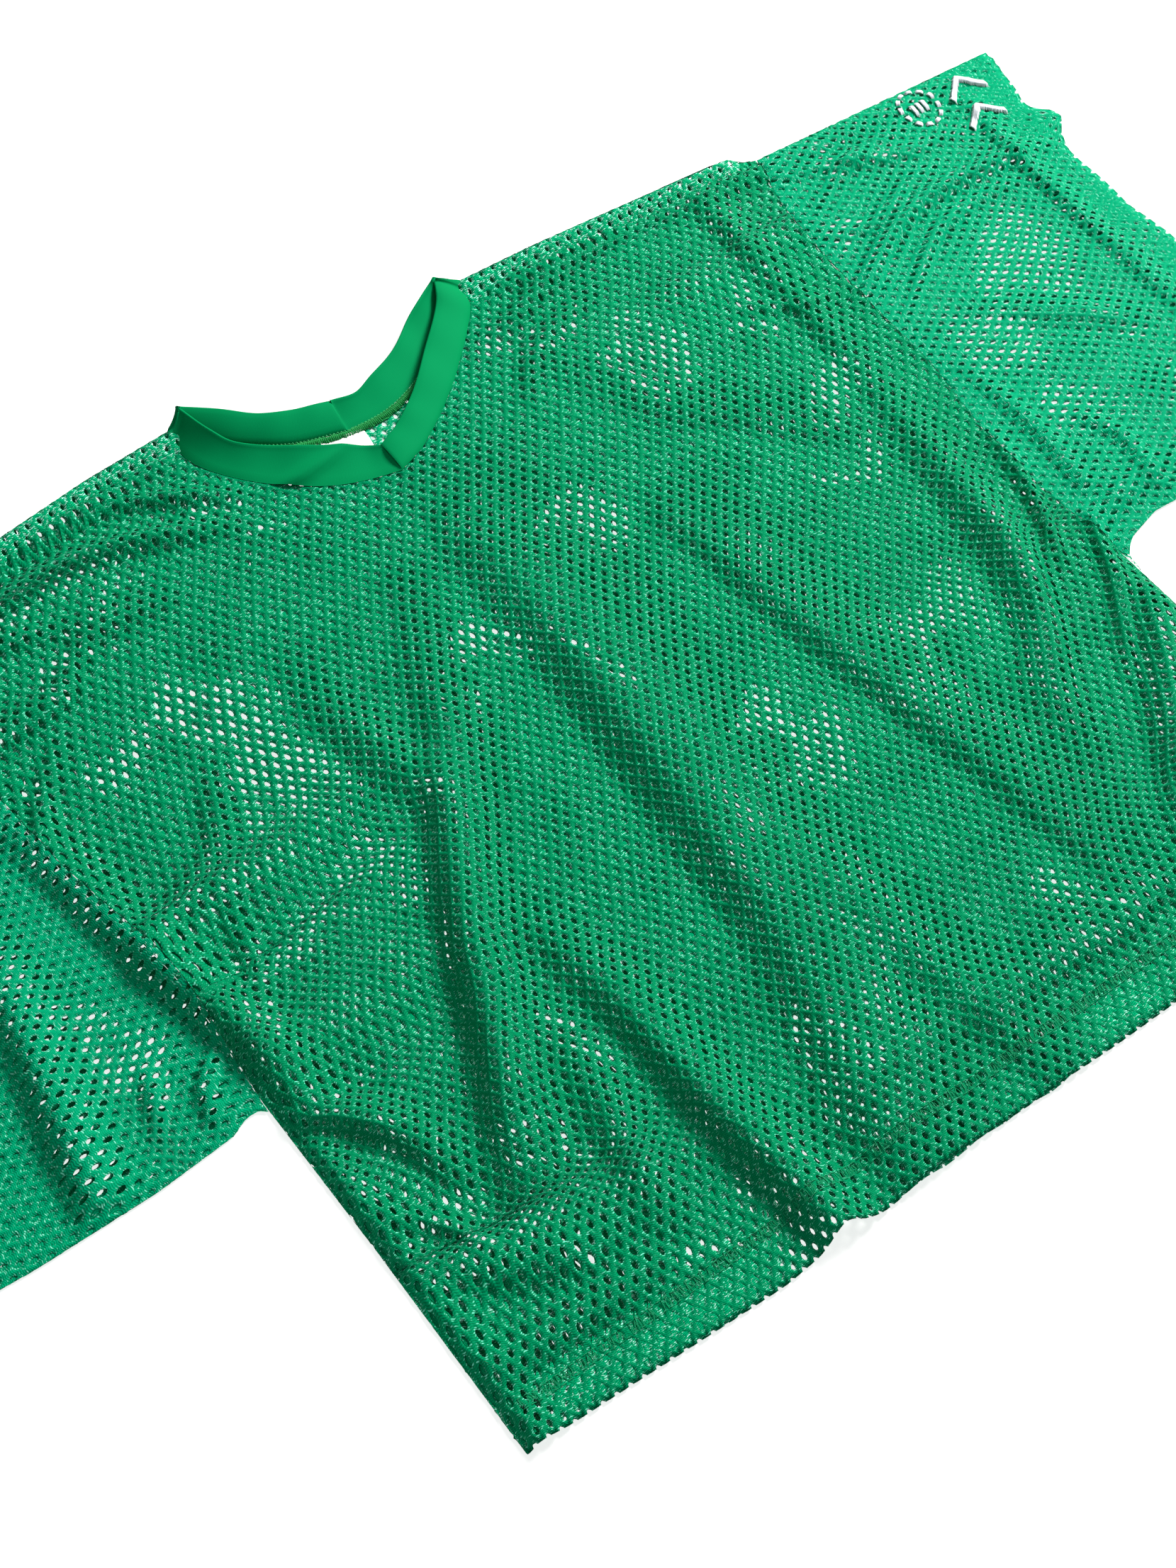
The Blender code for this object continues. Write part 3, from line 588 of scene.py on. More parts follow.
def layer(cut, rows, columns, phase, outline, height, seed, turned=None, open_at=None):
    """One layer of mesh: its points, triangles and flat places.

    rows and columns are ranges of half pitches, phase is the flat place of cell (0, 0). Points outside the
    outline come to rest on it, and the holes that it cuts stay open. turned places what is folded under.
    """
    rng = np.random.default_rng(seed)
    a, b = np.meshgrid(np.arange(columns[0] - 1, columns[1] + 2), np.arange(rows[0] - 1, rows[1] + 2))
    flat = np.stack([a * HOLE_PITCH / 2, b * ROW_PITCH / 2], axis=-1) + phase
    wide, tall = a.shape[1], a.shape[0]
    cells = (a + b) % 2 == 0
    cells[[0, -1], :] = False
    cells[:, [0, -1]] = False
    row, column = np.nonzero(cells)
    index = np.arange(wide * tall).reshape(tall, wide)
    corners = np.stack([index[row, column + 1], index[row + 1, column],
                        index[row, column - 1], index[row - 1, column]], axis=1)
    centre = flat[row, column] + rng.normal(0, CENTRE_WANDER, (len(row), 2))
    reach = np.array(HOLE_REACH) * rng.normal(1, SIZE_SPREAD, (len(row), 1, 2))
    if open_at is not None:
        reach *= open_at(cut.plan(centre))[:, None, None]
    ring = centre[:, None] + np.array(RING) * reach
    low = centre[:, None] + np.array([RING[k] for k in LOWER]) * reach * RIM_TAPER
    count = len(row)
    grid_flat = flat.reshape(-1, 2)
    spots = np.concatenate([grid_flat, ring.reshape(-1, 2), low.reshape(-1, 2)])
    drop = np.concatenate([rng.normal(0, STRAND_WANDER, wide * tall), np.full(count * 8, -RIM_SINK),
                           np.full(count * 6, -RIM_SINK - RIM_DEPTH)])
    if turned is None:
        plan = cut.plan(spots)
        extra = 0.0
    else:
        plan, extra = turned(spots)
    base = wide * tall
    members = np.concatenate([base + np.arange(count * 8).reshape(-1, 8),
                              base + count * 8 + np.arange(count * 6).reshape(-1, 6), corners], axis=1)
    inside = is_inside(plan, outline)
    members = members[inside[members].any(axis=1)]
    loose = np.flatnonzero(~inside)
    loose = loose[np.isin(loose, members)]
    closed = np.vstack([outline, outline[:1]])
    plan[loose] = along_line(plan[loose], closed)[1]
    faces = members[:, CELL_FACES].reshape(-1, 3)
    faces = faces[inside[faces].any(axis=1)]
    wall_side = np.isin(np.arange(len(inside)), np.arange(base + count * 8, len(inside)))
    on_edge = ~inside & ~wall_side
    pressed = (on_edge[faces].sum(axis=1) == 2) & wall_side[faces].any(axis=1)
    faces = faces[~pressed]
    used, faces = np.unique(faces, return_inverse=True)
    faces = faces.reshape(-1, 3)
    level = height(plan[used]) + drop[used]
    if turned is not None:
        level += extra[used]
    points = np.column_stack([plan[used], np.maximum(level, 0.0)])
    flat_map = spots.copy()
    flat_map[base + count * 8:] = (centre[:, None] + (low - centre[:, None]) * 0.7).reshape(-1, 2)
    rim = (used >= base).astype(float)
    return points, faces, flat_map[used], rim


def add_object(name, data):
    """A new object in the scene, with the mesh, camera or light given."""
    thing = bpy.data.objects.new(name, data)
    bpy.context.collection.objects.link(thing)
    return thing


def add_mesh(name, parts, material, own_map=True):
    """One piece from parts of (points, faces, flat places, rim); the parts' flat places don't overlap.
    rim is 1 where a point lies on a hole's rim. own_map keeps the flat places as the map for baking."""
    points = np.concatenate([part[0] for part in parts]) + SHIFT
    starts = np.cumsum([0] + [len(part[0]) for part in parts])
    faces = np.concatenate([part[1] + start for part, start in zip(parts, starts)])
    flat = np.concatenate([part[2] for part in parts])
    rim = np.concatenate([part[3] for part in parts])
    mesh = bpy.data.meshes.new(name)
    mesh.vertices.add(len(points))
    mesh.vertices.foreach_set("co", points.astype(np.float32).ravel())
    mesh.loops.add(faces.size)
    mesh.loops.foreach_set("vertex_index", faces.astype(np.int32).ravel())
    mesh.polygons.add(len(faces))
    mesh.polygons.foreach_set("loop_start", np.arange(0, faces.size, faces.shape[1], dtype=np.int32))
    mesh.update(calc_edges=True)
    corner = flat[faces.ravel()]
    fabric = mesh.uv_layers.new(name="Fabric")
    fabric.uv.foreach_set("vector", corner.astype(np.float32).ravel())
    if own_map:
        low, high = flat.min(axis=0), flat.max(axis=0)
        share = 0.004 + 0.992 * (corner - low) / (high - low)
        mesh.uv_layers.new(name="OFBake").uv.foreach_set("vector", share.astype(np.float32).ravel())
    mesh.attributes.new("rim", "FLOAT", "POINT").data.foreach_set("value", rim.astype(np.float32))
    mesh.shade_smooth()
    mesh.materials.append(material)
    thing = add_object(name, mesh)
    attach(thing, "root")
    return thing


# ---------------- materials


class Nodes:
    """Short calls for a material's nodes."""

    def __init__(self, name):
        self.material = bpy.data.materials.new(name)
        self.material.use_nodes = True
        self.tree = self.material.node_tree
        self.shader = self.tree.nodes["Principled BSDF"]

    def link(self, source, target):
        if isinstance(source, (int, float)):
            target.default_value = source
        elif isinstance(source, tuple):
            target.default_value = (*source, 1.0)
        else:
            self.tree.links.new(source, target)

    def math(self, operation, *inputs, clamp=False):
        node = self.tree.nodes.new("ShaderNodeMath")
        node.operation = operation
        node.use_clamp = clamp
        for value, socket in zip(inputs, node.inputs):
            self.link(value, socket)
        return node.outputs[0]

    def fabric(self):
        node = self.tree.nodes.new("ShaderNodeUVMap")
        node.uv_map = "Fabric"
        apart = self.tree.nodes.new("ShaderNodeSeparateXYZ")
        self.link(node.outputs[0], apart.inputs[0])
        return node.outputs[0], apart.outputs[0], apart.outputs[1]

    def stretched(self, vector, scale):
        node = self.tree.nodes.new("ShaderNodeMapping")
        node.inputs["Scale"].default_value = scale
        self.link(vector, node.inputs["Vector"])
        return node.outputs[0]

    def noise(self, vector, scale, detail=2.0, roughness=0.5):
        node = self.tree.nodes.new("ShaderNodeTexNoise")
        self.link(vector, node.inputs["Vector"])
        node.inputs["Scale"].default_value = scale
        node.inputs["Detail"].default_value = detail
        node.inputs["Roughness"].default_value = roughness
        return node.outputs["Fac"]

    def spread(self, value, low, high, to_low=0.0, to_high=1.0):
        node = self.tree.nodes.new("ShaderNodeMapRange")
        node.interpolation_type = "SMOOTHSTEP"
        self.link(value, node.inputs["Value"])
        for socket, number in zip(("From Min", "From Max", "To Min", "To Max"), (low, high, to_low, to_high)):
            node.inputs[socket].default_value = number
        return node.outputs[0]

    def wave(self, value, length, bend=0.0):
        """0 to 1 and back over each length, moved by bend lengths."""
        turns = self.math("ADD", self.math("DIVIDE", value, length), bend)
        swing = self.math("SINE", self.math("MULTIPLY", turns, 2 * math.pi))
        return self.math("MULTIPLY_ADD", swing, 0.5, 0.5)

    def blend(self, share, first, second):
        node = self.tree.nodes.new("ShaderNodeMix")
        node.data_type = "RGBA"
        self.link(share, node.inputs["Factor"])
        self.link(first, node.inputs["A"])
        self.link(second, node.inputs["B"])
        return node.outputs["Result"]

    def bump(self, height, distance, strength=1.0):
        node = self.tree.nodes.new("ShaderNodeBump")
        node.inputs["Strength"].default_value = strength
        node.inputs["Distance"].default_value = distance
        self.link(height, node.inputs["Height"])
        self.link(node.outputs[0], self.shader.inputs["Normal"])

    def point_value(self, name):
        node = self.tree.nodes.new("ShaderNodeAttribute")
        node.attribute_name = name
        return node.outputs["Fac"]

    def finish(self, colour, roughness, specular=0.5, tint=(1.0, 1.0, 1.0)):
        self.link(colour, self.shader.inputs["Base Color"])
        self.link(roughness, self.shader.inputs["Roughness"])
        self.shader.inputs["Specular IOR Level"].default_value = specular
        self.shader.inputs["Specular Tint"].default_value = (*tint, 1.0)
        return self.material


COURSE = ROW_PITCH / 12           # one row of knitting
WALE = HOLE_PITCH / 6


def knit_material(name, lit, deep, glint, glints=0.8, bare=0.62):
    """Filament mesh: ribbed strands with painted shade in their grooves, uneven dye, and painted filament
    glints, most at the rims of the holes.
    """
    nodes = Nodes(name)
    vector, across, along = nodes.fabric()
    sway = nodes.math("MULTIPLY", nodes.math("SUBTRACT", nodes.noise(vector, 230.0, 1.0), 0.5), 0.8)
    slant = nodes.math("MULTIPLY_ADD", nodes.wave(across, HOLE_PITCH / 2), 0.5, sway)
    courses = nodes.wave(along, COURSE, slant)
    wales = nodes.wave(across, WALE, sway)
    relief = nodes.math("MULTIPLY_ADD", wales, 0.25, nodes.math("MULTIPLY", courses, 0.75))
    fuzz = nodes.noise(vector, 1200.0, 1.0)
    relief = nodes.math("MULTIPLY_ADD", fuzz, 0.3, relief)
    filament = nodes.noise(nodes.stretched(vector, (0.5, 1.0, 1.0)), 900.0, 1.0)
    rim = nodes.math("POWER", nodes.point_value("rim"), 1.5)
    shine = nodes.spread(nodes.math("MULTIPLY_ADD", rim, 0.15, filament), bare, bare + 0.12)
    uneven = nodes.spread(nodes.noise(vector, 22.0, 4.0), 0.3, 0.7)
    # Painted shade: darker towards deep in the grooves of the ribs.
    base = nodes.blend(nodes.spread(relief, 0.25, 1.0), deep, lit)
    base = nodes.blend(nodes.math("MULTIPLY", uneven, 0.16), base, deep)
    # Painted glints: the glint colour is painted onto the strands where shine is high, most at the rims of the
    # holes.
    base = nodes.blend(nodes.math("MULTIPLY", nodes.math("MULTIPLY", shine, courses), glints), base, glint)
    rough = nodes.math("SUBTRACT", 0.42, nodes.math("MULTIPLY", shine, 0.20))
    nodes.bump(relief, 0.00014, 1.0)
    return nodes.finish(base, rough, specular=0.03, tint=(0.0, 1.0, 0.70))


def rib_material(name, lit, deep):
    """Fine matt rib of the neckband, with painted shade in its grooves and uneven dye."""
    nodes = Nodes(name)
    vector, across, along = nodes.fabric()
    sway = nodes.math("MULTIPLY", nodes.noise(vector, 300.0), 0.8)
    ribs = nodes.wave(across, 0.0009, sway)
    courses = nodes.wave(along, 0.0006, sway)
    fuzz = nodes.noise(vector, 1600.0, 3.0)
    fine = nodes.math("ADD", nodes.math("MULTIPLY", courses, 0.2), nodes.math("MULTIPLY", fuzz, 0.4))
    relief = nodes.math("ADD", nodes.math("MULTIPLY", ribs, 0.7), fine)
    uneven = nodes.spread(nodes.noise(vector, 45.0, 4.0), 0.25, 0.75)
    # Painted shade: darker towards deep in the grooves of the ribs.
    base = nodes.blend(nodes.spread(relief, 0.2, 1.1), deep, lit)
    base = nodes.blend(nodes.math("MULTIPLY", uneven, 0.25), base, deep)
    nodes.bump(relief, 0.00003, 0.6)
    rough = nodes.math("ADD", 0.66, nodes.math("MULTIPLY", fuzz, 0.2))
    return nodes.finish(base, rough, specular=0.12, tint=(0.0, 1.0, 0.6))


# Each knit: its lit colour, its deep colour for the painted shade in the grooves, and the colour of its painted
# glints.
BODY_KNIT = knit_material("body_knit", (0.0, 0.270, 0.109), (0.0, 0.172, 0.064), (0.22, 0.90, 0.66))
# The back layer's knit is painted brighter than the front's, with more and stronger painted glints: painted
# light that stands in for the light coming through the front layer onto it.
BACK_KNIT = knit_material("back_knit", (0.0, 0.42, 0.175), (0.0, 0.22, 0.083), (0.46, 0.97, 0.82), 1.0, 0.56)
# The sleeves' knit is painted brighter than the body's: a painted sheen for their wales, which run another way
# to the light.
SLEEVE_KNIT = knit_material("sleeve_knit", (0.0, 0.365, 0.168), (0.0, 0.235, 0.100), (0.30, 0.92, 0.72))
NECK_KNIT = rib_material("neck_knit", (0.0, 0.255, 0.081), (0.0, 0.225, 0.069))

# ---------------- body panels


def body_outline(neck):
    """Plan outline of a body panel, counter-clockwise; the neck runs from the left shoulder to the right."""
    left, right = (np.vstack([(SIDE[side][0][0], HEM_Y - HEM_SPARE), SIDE[side],
                              ARMHOLE_SEAM[1:] * (side, 1), SHOULDER[side][-2:0:-1]]) for side in (1, -1))
    return np.vstack([left, neck[:, :2], right[::-1]])


FRONT_NECK = np.vstack([curve_through(NECK_FRONT_LEFT)[::-1], curve_through(NECK_FRONT_RIGHT)[1:]])
BACK_NECK = np.vstack([curve_through(NECK_BACK_LEFT), curve_through(NECK_BACK_RIGHT)[-2::-1]])
COLUMNS = (-84, 84)               # half pitches each way from the centre that a body panel may need
TOP_ROW = 118                     # half rows from the hem to the shoulder
BODY_REACH = 0.56                 # half the side of the square in which a body panel's cut is mapped
FAN = 0.072                       # share by which the wales draw together in the middle of the body
FAN_FADE = (0.25, 0.12)           # lengths over which that fades, towards the neck and towards the hem
SQUARE_FROM = (HEM_Y, 0.10)       # where the rows begin to turn square to the wales, and over what length
INNER_SINK = 0.6                  # rise of a back layer's turned-up edge above it, as a share of LAYER_DROP


def turned_up(cut, line, way, shear, sink):
    """Places what lies past the fold line back over the layer that it was folded from, and sink below it.
    Past the line is towards way, which is 1 or -1 along the cut."""

    def place(flat):
        past = way * (flat[:, 1] - line)
        under = past > ON_LINE
        seen = flat.copy()
        seen[under, 1] = line - way * past[under]
        seen[under, 0] += shear(flat[under, 0]) * past[under]
        extra = np.where(under, -sink * smooth(past / FOLD_ROLL), 0.0)
        extra = np.where(np.abs(past) < ON_LINE, -FOLD_MIDDLE * sink, extra)
        return cut.plan(seen), extra

    return place


def body_panel(name, node, neck, cut, height, seed, shear, sink, knit, open_at):
    """A panel in two pieces: from SPLIT_ROW to the shoulders, and below it with the turned-up hem."""
    outline = body_outline(neck)
    phase = np.array([0.0, HEM_Y])
    main = layer(cut, (SPLIT_ROW, TOP_ROW), COLUMNS, phase, outline, height, seed, None, open_at)
    panel = add_mesh(name, [main], knit)
    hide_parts(node)
    fold = turned_up(cut, HEM_Y, -1, shear, sink)
    hem = layer(cut, (1 - HEM_ROWS, SPLIT_ROW - 1), COLUMNS, phase, outline, height, seed + 1, fold, open_at)
    band = add_mesh(name + "_hem", [hem], knit)
    return panel, band


def body_fan(across, along):
    """The little that the wales draw together below the chest, beyond what the folds take up."""
    return FAN * across * smooth((0.0 - along) / FAN_FADE[0]) * smooth((along - HEM_Y) / FAN_FADE[1])


def hem_draw(column):
    """How far down the hem draws each place of a body panel."""
    rows = curve_through(HEM_EDGE)

    def draw(local):
        down = np.interp(local[:, 0], rows[:, 0], rows[:, column])
        return down * smooth(1.0 - (local[:, 1] - HEM_Y) / HEM_REACH)

    return draw


FRONT_CUT = Cut((0.0, 0.0), 0.0, BODY_REACH, front_height, body_fan, SQUARE_FROM)
BACK_CUT = FRONT_CUT.beneath(slip_under)
FRONT_CUT.draw = hem_draw(1)
BACK_CUT.draw = hem_draw(2)

front, front_hem = body_panel("front_mesh", "front_panel", FRONT_NECK, FRONT_CUT, front_height, 11,
                              lambda s: 0.05 * np.sin(s / 0.045 + 0.6), LAYER_DROP, BODY_KNIT, None)
back, back_hem = body_panel("back_mesh", "back_panel", BACK_NECK, BACK_CUT, back_height, 23,
                            lambda s: 0.06 * np.sin(s / 0.060), -LAYER_DROP * INNER_SINK, BACK_KNIT,
                            back_open)

# ---------------- sleeves

SLEEVE_TURN = math.atan2(CUFF_TOP[0] - CUFF_LOW[0], CUFF_TOP[1] - CUFF_LOW[1])   # the cuff's lean
SLEEVE_REACH = 0.26               # half the side of the square in which a sleeve's cut is mapped
SLEEVE_ROWS = -48                 # half rows from the cuff's fold to past the armhole
SLEEVE_COLUMNS = (-64, 64)        # half pitches each way from the middle that a sleeve may need
CUFF_SHEAR = (0.14, 0.05)         # sideways slip of a cuff's turned-up edge, and the length over which it varies
SEAM_CLEAR = (0.0003, 0.0)        # from the armhole seam to the sleeve
CUFF_SPARE = 0.05                 # how far the outline runs past the cuff, where the rows end the mesh
MAPS_APART = 0.42                 # from the flat place of a sleeve's front layer to its back layer's


def sleeve(name, side, seed):
    """Both layers of a sleeve: a tube pressed flat, with its fold on top and its seam under the arm."""
    mirror = np.array([side, 1.0])
    seam = (ARMHOLE_SEAM + SEAM_CLEAR) * mirror
    cuff_low, cuff_top = np.array(CUFF_LOW), np.array(CUFF_TOP)
    outward = np.array([math.cos(SLEEVE_TURN), -math.sin(SLEEVE_TURN)])
    spare = CUFF_SPARE * outward
    outline = np.vstack([seam[::-1], UNDERARM[side], np.array([cuff_low + spare, cuff_top + spare]) * mirror])
    width = math.dist(CUFF_LOW, CUFF_TOP)
    turn = -math.pi / 2 - SLEEVE_TURN if side > 0 else math.pi / 2 + SLEEVE_TURN
    parts = []
    origin = (cuff_low + cuff_top) / 2 * mirror
    over = Cut(origin, turn, SLEEVE_REACH, front_height, draw=cuff_draw(side, 1, width),
               lean=SLEEVE_LEAN[side], tilt=SLEEVE_TILT[side])
    under = over.beneath(slip_under)
    under.draw = cuff_draw(side, 2, width)
    # The wales run outward, so what lies past 0 along the cut is the cuff's turned-up edge.
    for cut, height, sink, open_at in ((over, front_height, LAYER_DROP, None),
                                       (under, back_height, -LAYER_DROP * INNER_SINK, back_open)):
        fold = turned_up(cut, 0.0, 1, lambda s: CUFF_SHEAR[0] * np.sin(s / CUFF_SHEAR[1]), sink)
        parts.append(layer(cut, (SLEEVE_ROWS, CUFF_ROWS - 1), SLEEVE_COLUMNS, np.zeros(2), outline, height,
                           seed + len(parts), fold, open_at))
    parts[1][2][:, 0] += MAPS_APART
    piece = add_mesh(name + "_mesh", parts, SLEEVE_KNIT)
    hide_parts(name)
    return piece


def cuff_draw(side, column, width):
    """How far each flat place of a sleeve lies in from the straight cuff line."""
    rows = curve_through(CUFF_EDGE[side])

    def draw(local):
        share = 0.5 + side * local[:, 0] / width
        return np.interp(share, rows[:, 0], rows[:, column]) * smooth(local[:, 1] / CUFF_REACH + 1.0)

    return draw


sleeve_left = sleeve("sleeve_left", 1, 31)
sleeve_right = sleeve("sleeve_right", -1, 41)

# ---------------- neckband

BAND_WALL = 0.0018
BAND_STEPS = 8
BAND_CROWN = 0.0013               # how far the outer face swells between the seam and the fold
BAND_SHARES = (0.0, 0.04, 0.12, 0.25, 0.40, 0.55, 0.70, 0.84, 0.94, 1.0)     # lines from the seam to the fold
BAND_SETTLE = 0.30                # share of its height by which the band has sunk towards the panels
SETTLE_WAY = (0.44, 0.50)         # how far it leans to the left and to the back as it sinks
END_DIP = 0.0004                  # how far the band dips at the mitre and at the back seam
END_WALKS = (0.0007, 0.0016)      # extra sections beside them
HOLLOW_DEPTH = 0.0040             # of the slanting hollow on the right
HOLLOW_REACH = 0.0075             # half its width, along the band
WAVE_SIZE = 0.0005                # height of the faint waves along the band
DIP_REACH = 0.0007                # how far from its end a dip reaches
EDGE_TURNS = 6                    # steps in which the band turns over its fold


def band_swell(walks, share, side):
    """How far out the band's face lies from its wall: crown, faint waves and, on the right, a hollow."""
    crown = BAND_CROWN * math.sin(math.pi * share) ** 0.6
    waves = WAVE_SIZE * np.sin(walks / 0.0068 + side) * np.sin(walks / 0.019 + 1.0) * (0.3 + share)
    dip = END_DIP * (np.exp(-walks / DIP_REACH) + np.exp((walks - walks[-1]) / DIP_REACH))
    hollow = 0.0
    if side < 0:
        middle = 0.066 - 0.030 * share
        bell = np.exp(-((walks - middle) / HOLLOW_REACH) ** 2)
        hollow = HOLLOW_DEPTH * bell * math.sin(math.pi * (0.15 + 0.75 * share))
    return crown + waves - dip - hollow


def neckband(name, node, front_rows, back_rows, side):
    """Half of the neckband: a strip folded double, open at its foot, from the mitre to the back seam."""
    front_rows, back_rows = curve_through(front_rows, BAND_STEPS), curve_through(back_rows, BAND_STEPS)
    rows = np.vstack([front_rows, back_rows[1:]])
    panel_top = np.where(np.arange(len(rows)) < len(front_rows), front_height(rows[:, :2]), BACK_TOP)
    rows = np.column_stack([rows, panel_top])
    walks = walked(rows[:, :2])
    extra = [walk for end in END_WALKS for walk in (end, walks[-1] - end)]
    at = np.sort(np.concatenate([walks, extra]))
    rows = np.column_stack([np.interp(at, walks, column) for column in rows.T])
    walks = at
    seam = rows[:, (0, 1, 5)]
    sunk = BAND_SETTLE * (rows[:, 4:5] - rows[:, 5:6])
    fold = rows[:, 2:5] + sunk * (*SETTLE_WAY, -1.0)
    way = np.column_stack([unit(np.gradient(rows[:, :2], axis=0)), np.zeros(len(rows))])
    way[:3] = (side, 0, 0)
    way[-3:] = (-side, 0, 0)
    rise = fold - seam
    tall = np.linalg.norm(rise, axis=1)[:, None]
    rise = rise / tall
    out = unit(np.cross(way, rise))
    half = BAND_WALL / 2
    points, flat = [], []
    for share in BAND_SHARES:
        off = half * min(1.0, 0.1 + 10 * share) + band_swell(walks, share, side)
        points.append(seam + rise * (tall * share) + out * off[:, None])
        flat.append(np.column_stack([walks, (tall * share).ravel()]))
    outer = band_swell(walks, 1.0, side)[:, None]
    for turn in math.pi * np.arange(1, EDGE_TURNS) / EDGE_TURNS:
        points.append(fold + out * (half * math.cos(turn) + outer) + rise * half * math.sin(turn))
        flat.append(np.column_stack([walks, tall.ravel() + half * turn]))
    for share in BAND_SHARES[::-1]:
        off = half * min(1.0, 0.1 + 10 * share) - band_swell(walks, share, side)
        points.append(seam + rise * (tall * share) - out * off[:, None])
        flat.append(np.column_stack([walks, (tall * (2 - share)).ravel() + half * math.pi]))
    corners = (0, 1, 2, 0, 2, 3) if side < 0 else (0, 2, 1, 0, 3, 2)
    faces = grid_quads(len(points), len(rows))[:, corners].reshape(-1, 3)
    strip = (np.vstack(points), faces, np.vstack(flat), np.zeros(len(points) * len(rows)))
    piece = add_mesh(name, [strip], NECK_KNIT)
    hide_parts(node)
    return piece


band_right = neckband("neckband_right", "collar_right", NECK_FRONT_RIGHT, NECK_BACK_RIGHT, -1)
band_left = neckband("neckband_left", "collar_left", NECK_FRONT_LEFT, NECK_BACK_LEFT, 1)

# ---------------- seams, stitches, label and needlework


TAPE_DROP = 0.0013                # from the front layer's upper side to the seam tape under it
TAPE_STEP = 0.0025                # between the points along a tape
TAPE_REACH = (0.009, -0.0006)     # from the seam to the tape's edges: inward, then outward
TAPE_LINES = 5                    # lines of points across a tape
TAPE_WAVER = 0.0004               # unevenness of its cut edges
TAPE_FOOT = 0.0003                # lowest height of a tape
MAP_GAP = 0.002                   # between the flat places of two tapes
THREADS_APART = 0.0003            # between the flat places of two threads
STITCH_ROW = 0.0265               # from the fold of the hem to the middle of its stitches
STITCH_WIDTH = 0.0058
STITCH_LIFT = 0.0001              # how far above the cloth its threads lie
STITCH_RADIUS = 0.00020
STITCH_INSET = 0.004              # from the body's side to the first stitch
LOOP_STEP = 0.0022
LOOPS_MISSING = 0.2               # share of the looper thread's loops that don't show
OVERLOCK_WIDTH = 0.0050
OVERLOCK_STEP = 0.0011
OVERLOCK_TOP = 0.0021             # height of the cloth edge that it covers
OVERLOCK_RADIUS = 0.00034
CHAIN_RADIUS = 0.00032


def even_line(line, step):
    """Points a step apart along a line in plan, and the way it runs there."""
    line = np.array(line, float)[:, :2]
    walks = walked(line)
    at = np.linspace(0.0, walks[-1], max(int(walks[-1] / step), 1) + 1)
    points = np.column_stack([np.interp(at, walks, line[:, 0]), np.interp(at, walks, line[:, 1])])
    return points, unit(np.gradient(points, axis=0))


def tape(name, lines, reach, level, material, seed):
    """Flat strips of cut edge along seams. reach is (left, right) of the walk, level gives the height."""
    rng = np.random.default_rng(seed)
    parts, lane = [], 0.0
    for line in lines:
        middle, way = even_line(line, TAPE_STEP)
        left = np.column_stack([-way[:, 1], way[:, 0]])
        size = len(middle)
        points, flat = [], []
        for k, share in enumerate(np.linspace(-reach[1], reach[0], TAPE_LINES)):
            at_edge = k in (0, TAPE_LINES - 1)
            off = share + (rng.normal(0, TAPE_WAVER, size) if at_edge else np.zeros(size))
            plan = middle + left * off[:, None]
            points.append(np.column_stack([plan, np.maximum(level(plan), TAPE_FOOT)]))
            flat.append(np.column_stack([np.arange(size) * TAPE_STEP, np.full(size, lane + share)]))
        lane += reach[0] + reach[1] + MAP_GAP
        parts.append((np.vstack(points), grid_quads(TAPE_LINES, size), np.vstack(flat),
                      np.zeros(TAPE_LINES * size)))
    add_mesh(name, parts, material)


def threads(name, paths, radius, material, sides=5):
    """Round threads along paths, all in one piece. Each path's ends are drawn in."""
    parts, lane = [], 0.0
    turns = np.arange(sides + 1) * 2 * math.pi / sides
    for path in paths:
        path = np.array(path, float)
        way = unit(np.gradient(path, axis=0))
        side = np.cross(way, (0.0, 0.0, 1.0))
        side[np.linalg.norm(side, axis=1) < 1e-3] = (1.0, 0.0, 0.0)
        side = unit(side)
        up = np.cross(side, way)
        size = np.full(len(path), radius)
        size[[0, -1]] = radius * 0.35
        ring = side[:, None] * np.cos(turns)[None, :, None] + up[:, None] * np.sin(turns)[None, :, None]
        points = path[:, None] + ring * size[:, None, None]
        flat = np.stack(np.broadcast_arrays(walked(path)[:, None], lane + turns[None] * radius), axis=-1)
        lane += 2 * math.pi * radius + THREADS_APART
        parts.append((points.reshape(-1, 3), grid_quads(len(path), sides + 1, flip=True),
                      flat.reshape(-1, 2), np.zeros(points.size // 3)))
    add_mesh(name, parts, material, own_map=False)


def thread_material(name, colour, dark, twist=0.0007):
    """Twisted thread: slanting plies, a little fuzz and uneven dye; the colour is darker where the plies and
    fuzz sink, partly painted shade in the grooves, partly uneven dye.
    """
    nodes = Nodes(name)
    vector, along, around = nodes.fabric()
    plies = nodes.wave(along, twist, nodes.math("DIVIDE", around, 0.0012))
    fuzz = nodes.noise(vector, 1500.0, 2.0)
    relief = nodes.math("MULTIPLY_ADD", fuzz, 0.5, plies)
    # Painted shade in the grooves between the plies, with uneven dye from the fuzz: darker towards dark where
    # the relief sinks.
    base = nodes.blend(nodes.spread(relief, 0.1, 1.2), dark, colour)
    nodes.bump(relief, 0.00015, 0.8)
    return nodes.finish(base, nodes.math("MULTIPLY_ADD", fuzz, 0.2, 0.45), specular=0.3)


